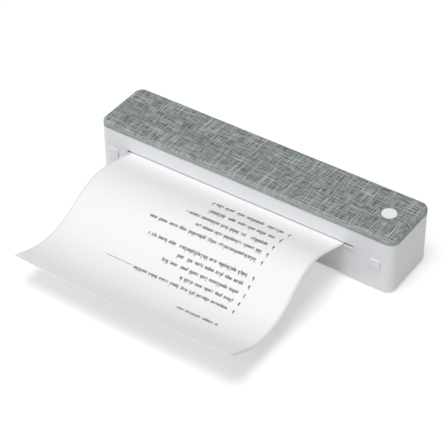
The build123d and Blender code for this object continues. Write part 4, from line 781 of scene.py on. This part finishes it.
def trace(steps, count):
    """count points at even spacing along one column of the sheet, as (y, z) in metres from the exit."""
    nothing = 1e-9
    total = edge_length(steps)
    places = []
    for i in range(count):
        left = total * i / (count - 1)
        y, z, angle = 0.0, 0.0, math.pi
        for size, turn in steps:
            whole = size if turn == 0 else size * abs(math.radians(turn))
            share = min(1.0, left / whole)
            if turn == 0:
                y, z = y + size * share * math.cos(angle), z + size * share * math.sin(angle)
            else:
                bend = math.copysign(1, turn)
                centre = (y - bend * size * math.sin(angle), z + bend * size * math.cos(angle))
                angle += share * math.radians(turn)
                y, z = centre[0] + bend * size * math.sin(angle), centre[1] - bend * size * math.cos(angle)
            left -= whole * share
            if left <= nothing:
                break
        places.append((y * MM, z * MM))
    return places


def make_sheet():
    """The printed sheet, from the top of the roll between platen and head and out over the desk."""
    columns, outside, on_roll, to_bend, in_bend, to_slot = 57, 150, 12, 12, 8, 10
    gap, half_thickness, thickness = 0.3 * MM, 0.075 * MM, 0.12 * MM
    on_roll_turn, bend_radius, bend_y = math.radians(40), 20 * MM, -6.5 * MM
    # The part inside, as (y, z): on the roll, straight to its bend, round that, and level out to the slot.
    reach = ROLL_RADIUS + gap + half_thickness
    away_y, away_z = bend_y - ROLL_Y, PAGE_Z - ROLL_Z
    tangent = math.atan2(away_z, away_y) - math.acos(reach / math.hypot(away_y, away_z))
    web = []
    for step in range(on_roll + 1):
        angle = tangent - on_roll_turn * (1 - step / on_roll)
        web.append((ROLL_Y + reach * math.cos(angle), ROLL_Z + reach * math.sin(angle)))
    start = np.array(web[-1])
    corner = np.array((bend_y, PAGE_Z))
    turn = math.pi / 2 - tangent
    direction = (corner - start) / np.linalg.norm(corner - start)
    lost = bend_radius * math.tan(abs(turn) / 2)
    bend_start = corner - direction * lost
    for step in range(1, to_bend + 1):
        web.append(tuple(start + (bend_start - start) * step / to_bend))
    for step in range(1, in_bend + 1):
        share = abs(turn) * step / in_bend
        heading = math.atan2(direction[1], direction[0]) + math.copysign(share, turn)
        middle = heading - math.copysign(share / 2, turn)
        chord = 2 * bend_radius * math.sin(share / 2)
        web.append((bend_start[0] + chord * math.cos(middle), bend_start[1] + chord * math.sin(middle)))
    last = web[-1]
    for step in range(1, to_slot + 1):
        web.append((last[0] + (EXIT_Y - last[0]) * step / to_slot, PAGE_Z))
    lengths = np.cumsum([0] + [math.dist(a, b) for a, b in zip(web, web[1:])])
    points, page = [], []
    for column in range(columns):
        share = column / (columns - 1)
        x = PAGE_LEFT + PAGE_WIDTH * share
        steps = [
            (a[0] + (b[0] - a[0]) * share, a[1] + (b[1] - a[1]) * share)
            for a, b in zip(LEFT_EDGE, RIGHT_EDGE)
        ]
        free = trace(steps, outside)[1:]
        whole = edge_length(steps)
        across = PAGE_WIDTH * (1 - share) / MM
        for (y, z), run in zip(web, lengths):
            points.append((x, y, z))
            page.append((across, (run - lengths[-1]) / MM, 0))
        for i, (y, z) in enumerate(free, 1):
            points.append((x, EXIT_Y + y, PAGE_Z + z))
            page.append((across, whole * i / (outside - 1), 0))
    long = len(web) + outside - 1
    faces = []
    for column in range(columns - 1):
        for i in range(long - 1):
            a = column * long + i
            faces.append((a, a + 1, a + long + 1, a + long))
    sheet = make_object("printed_sheet", points, faces, "white_paper")
    set_attribute(sheet, "page", page)
    thick = sheet.modifiers.new("thickness", "SOLIDIFY")
    thick.thickness, thick.offset = thickness, 0
    with_modifiers(sheet)
    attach(sheet, "base")
    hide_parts("paper_sheet")


def make_roll():
    """The wound paper: one closed ring whose two ends show the layers as a fine spiral ridge."""
    around, rings, pitch, proud = 120, 41, 0.5 * MM, 0.09 * MM
    core_gap, end_gap = 0.1 * MM, 0.15 * MM
    inner = CORE_RADIUS + core_gap
    middle, half = PAGE_LEFT + PAGE_WIDTH / 2, PAGE_WIDTH / 2 - end_gap
    points, faces = [], []
    for side in (-1, 1):
        for ring in range(rings):
            radius = inner + (ROLL_RADIUS - inner) * ring / (rings - 1)
            for step in range(around):
                turn = step / around
                ridge = proud * math.cos(2 * math.pi * ((radius - inner) / pitch - turn))
                angle = 2 * math.pi * turn
                across = ROLL_Y + radius * math.cos(angle)
                points.append((middle + side * (half + ridge), across, ROLL_Z + radius * math.sin(angle)))
    other = rings * around
    last = (rings - 1) * around
    for i in range(around):
        j = (i + 1) % around
        for ring in range(rings - 1):
            a, b = ring * around, (ring + 1) * around
            faces.append((a + i, b + i, b + j, a + j))
            faces.append((other + a + i, other + a + j, other + b + j, other + b + i))
        faces.append((last + i, other + last + i, other + last + j, last + j))
        faces.append((i, j, other + j, other + i))
    roll = make_object("wound_roll", points, faces, "wound_paper", smooth=False)
    face_outwards(roll)
    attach(roll, "roll")
    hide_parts("paper_roll")


def make_tube(name, path, radius, finish, around=10):
    """A round wire along a path, closed at both ends."""
    path = [Vector(p) for p in path]
    points, faces = [], []
    side = None
    for i, here in enumerate(path):
        ahead = (path[min(i + 1, len(path) - 1)] - path[max(i - 1, 0)]).normalized()
        if side is None:
            side = ahead.orthogonal().normalized()
        side = (side - ahead * side.dot(ahead)).normalized()
        other = ahead.cross(side)
        for step in range(around):
            angle = 2 * math.pi * step / around
            points.append(here + radius * (math.cos(angle) * side + math.sin(angle) * other))
    last = (len(path) - 1) * around
    for here in range(0, last, around):
        there = here + around
        for step in range(around):
            after = (step + 1) % around
            faces.append((here + step, here + after, there + after, there + step))
    faces += [tuple(range(around - 1, -1, -1)), tuple(range(last, last + around))]
    return make_object(name, points, faces, finish)


def coil(centre, axis, length, radius, turns):
    """The line of a coil spring with closed ends, starting at centre and running along axis."""
    per_turn, end_turns, end_rise = 28, 1.2, 0.075
    axis = Vector(axis)
    side = axis.orthogonal().normalized()
    other = axis.cross(side)
    line = []
    for i in range(int(turns * per_turn) + 1):
        turn = i / per_turn
        if turn < end_turns:
            rise = end_rise * turn / end_turns
        elif turn > turns - end_turns:
            rise = 1 - end_rise * (turns - turn) / end_turns
        else:
            rise = end_rise + (1 - 2 * end_rise) * (turn - end_turns) / (turns - 2 * end_turns)
        angle = 2 * math.pi * turn
        out = math.cos(angle) * side + math.sin(angle) * other
        line.append(Vector(centre) + axis * length * rise + radius * out)
    return line


def make_springs():
    """Real coils in place of the CAD's plain sleeves."""
    low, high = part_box("head_springs")
    start, length = low.z + SPRING_WIRE, high.z - low.z - 2 * SPRING_WIRE
    springs = []
    for x in HEAD_SPRING_X:
        line = coil((x, PLATEN_Y, start), (0, 0, 1), length, HEAD_SPRING_RADIUS, HEAD_SPRING_TURNS)
        springs.append(make_tube(f"head_spring_{len(springs) + 1}", line, SPRING_WIRE, "bright_steel"))
    for spring in springs:
        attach(spring, "lid")
        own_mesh(spring)
    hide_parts("head_springs")
    for side in ("left", "right"):
        low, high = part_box(f"tab_spring_{side}")
        centre = (low + high) / 2
        start, length = low.y + SPRING_WIRE, high.y - low.y - 2 * SPRING_WIRE
        line = coil((centre.x, start, centre.z), (0, 1, 0), length, TAB_SPRING_RADIUS, TAB_SPRING_TURNS)
        spring = make_tube(f"tab_coil_{side}", line, SPRING_WIRE, "bright_steel")
        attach(spring, "base")
        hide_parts(f"tab_spring_{side}")
        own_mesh(spring)


CABLE_THICKNESS, CABLE_STEP = 0.28 * MM, 0.8 * MM
# The cables, in millimetres: their corners, the radius of their bends, and where their two edges run.
HEAD_CABLE_YZ = [(19.2, 6.2), (19.2, 12.5), (26.2, 19.5), (26.2, 51.65), (17.9, 51.65)]
HEAD_CABLE_BEND, HEAD_CABLE_X = 2.5, (112.7, 120.1)
MOTOR_CABLE_XZ = [(135.5, 15.1), (135.5, 6.36), (119.6, 6.36)]
MOTOR_CABLE_BEND, MOTOR_CABLE_Y = 3, (4.0, 11.4)


def rounded(corners, radius):
    """A polyline in a plane with its inner corners rounded."""
    per_bend = 8
    line = [corners[0]]
    for before, here, after in zip(corners, corners[1:], corners[2:]):
        a, b, c = (np.array(p) for p in (before, here, after))
        into, out = (b - a) / np.linalg.norm(b - a), (c - b) / np.linalg.norm(c - b)
        turn = math.acos(max(-1, min(1, float(into @ out))))
        cut = radius * math.tan(turn / 2)
        for step in range(per_bend + 1):
            share = step / per_bend
            first, second = b - into * cut * (1 - share), b + out * cut * share
            line.append(tuple(first + (second - first) * share))
    line.append(corners[-1])
    return line


def denser(line, spacing):
    """The same line with points about this far apart."""
    filled = []
    for a, b in zip(line, line[1:]):
        count = max(1, int(math.dist(a, b) / spacing))
        filled += [tuple(np.array(a) + (np.array(b) - np.array(a)) * k / count) for k in range(count)]
    return filled + [line[-1]]


def make_strip(name, corners, bend, edges, axis):
    """A flat cable: a rounded path drawn out along X or Y, with its place across kept for the wires."""
    wide = 12
    path = denser(rounded([(a * MM, b * MM) for a, b in corners], bend * MM), CABLE_STEP)
    low, high = edges[0] * MM, edges[1] * MM
    points, strip, faces = [], [], []
    for i, (a, b) in enumerate(path):
        for step in range(wide + 1):
            share = step / wide
            at = low + (high - low) * share
            points.append((at, a, b) if axis == "X" else (a, at, b))
            strip.append((share, i / len(path), 0))
    for i in range(len(path) - 1):
        for step in range(wide):
            a = i * (wide + 1) + step
            faces.append((a, a + 1, a + wide + 2, a + wide + 1))
    made = make_object(name, points, faces, "cable_film")
    set_attribute(made, "strip", strip)
    thick = made.modifiers.new("thickness", "SOLIDIFY")
    thick.thickness, thick.offset = CABLE_THICKNESS, 0
    return with_modifiers(made)


def make_cables():
    """The head's flat cable, laid in one fixed shape past the hinge, and the motor's short one."""
    cable = make_strip("head_flat_cable", HEAD_CABLE_YZ, HEAD_CABLE_BEND, HEAD_CABLE_X, "X")
    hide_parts("head_cable_base", "head_cable_lid")
    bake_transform(cable)
    lead = make_strip("motor_flat_cable", MOTOR_CABLE_XZ, MOTOR_CABLE_BEND, MOTOR_CABLE_Y, "Y")
    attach(lead, "base")
    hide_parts("motor_cable")


make_camera()
make_light()
make_floor()
dress_nodes()
make_fabric()
make_sheet()
make_roll()
make_springs()
make_cables()
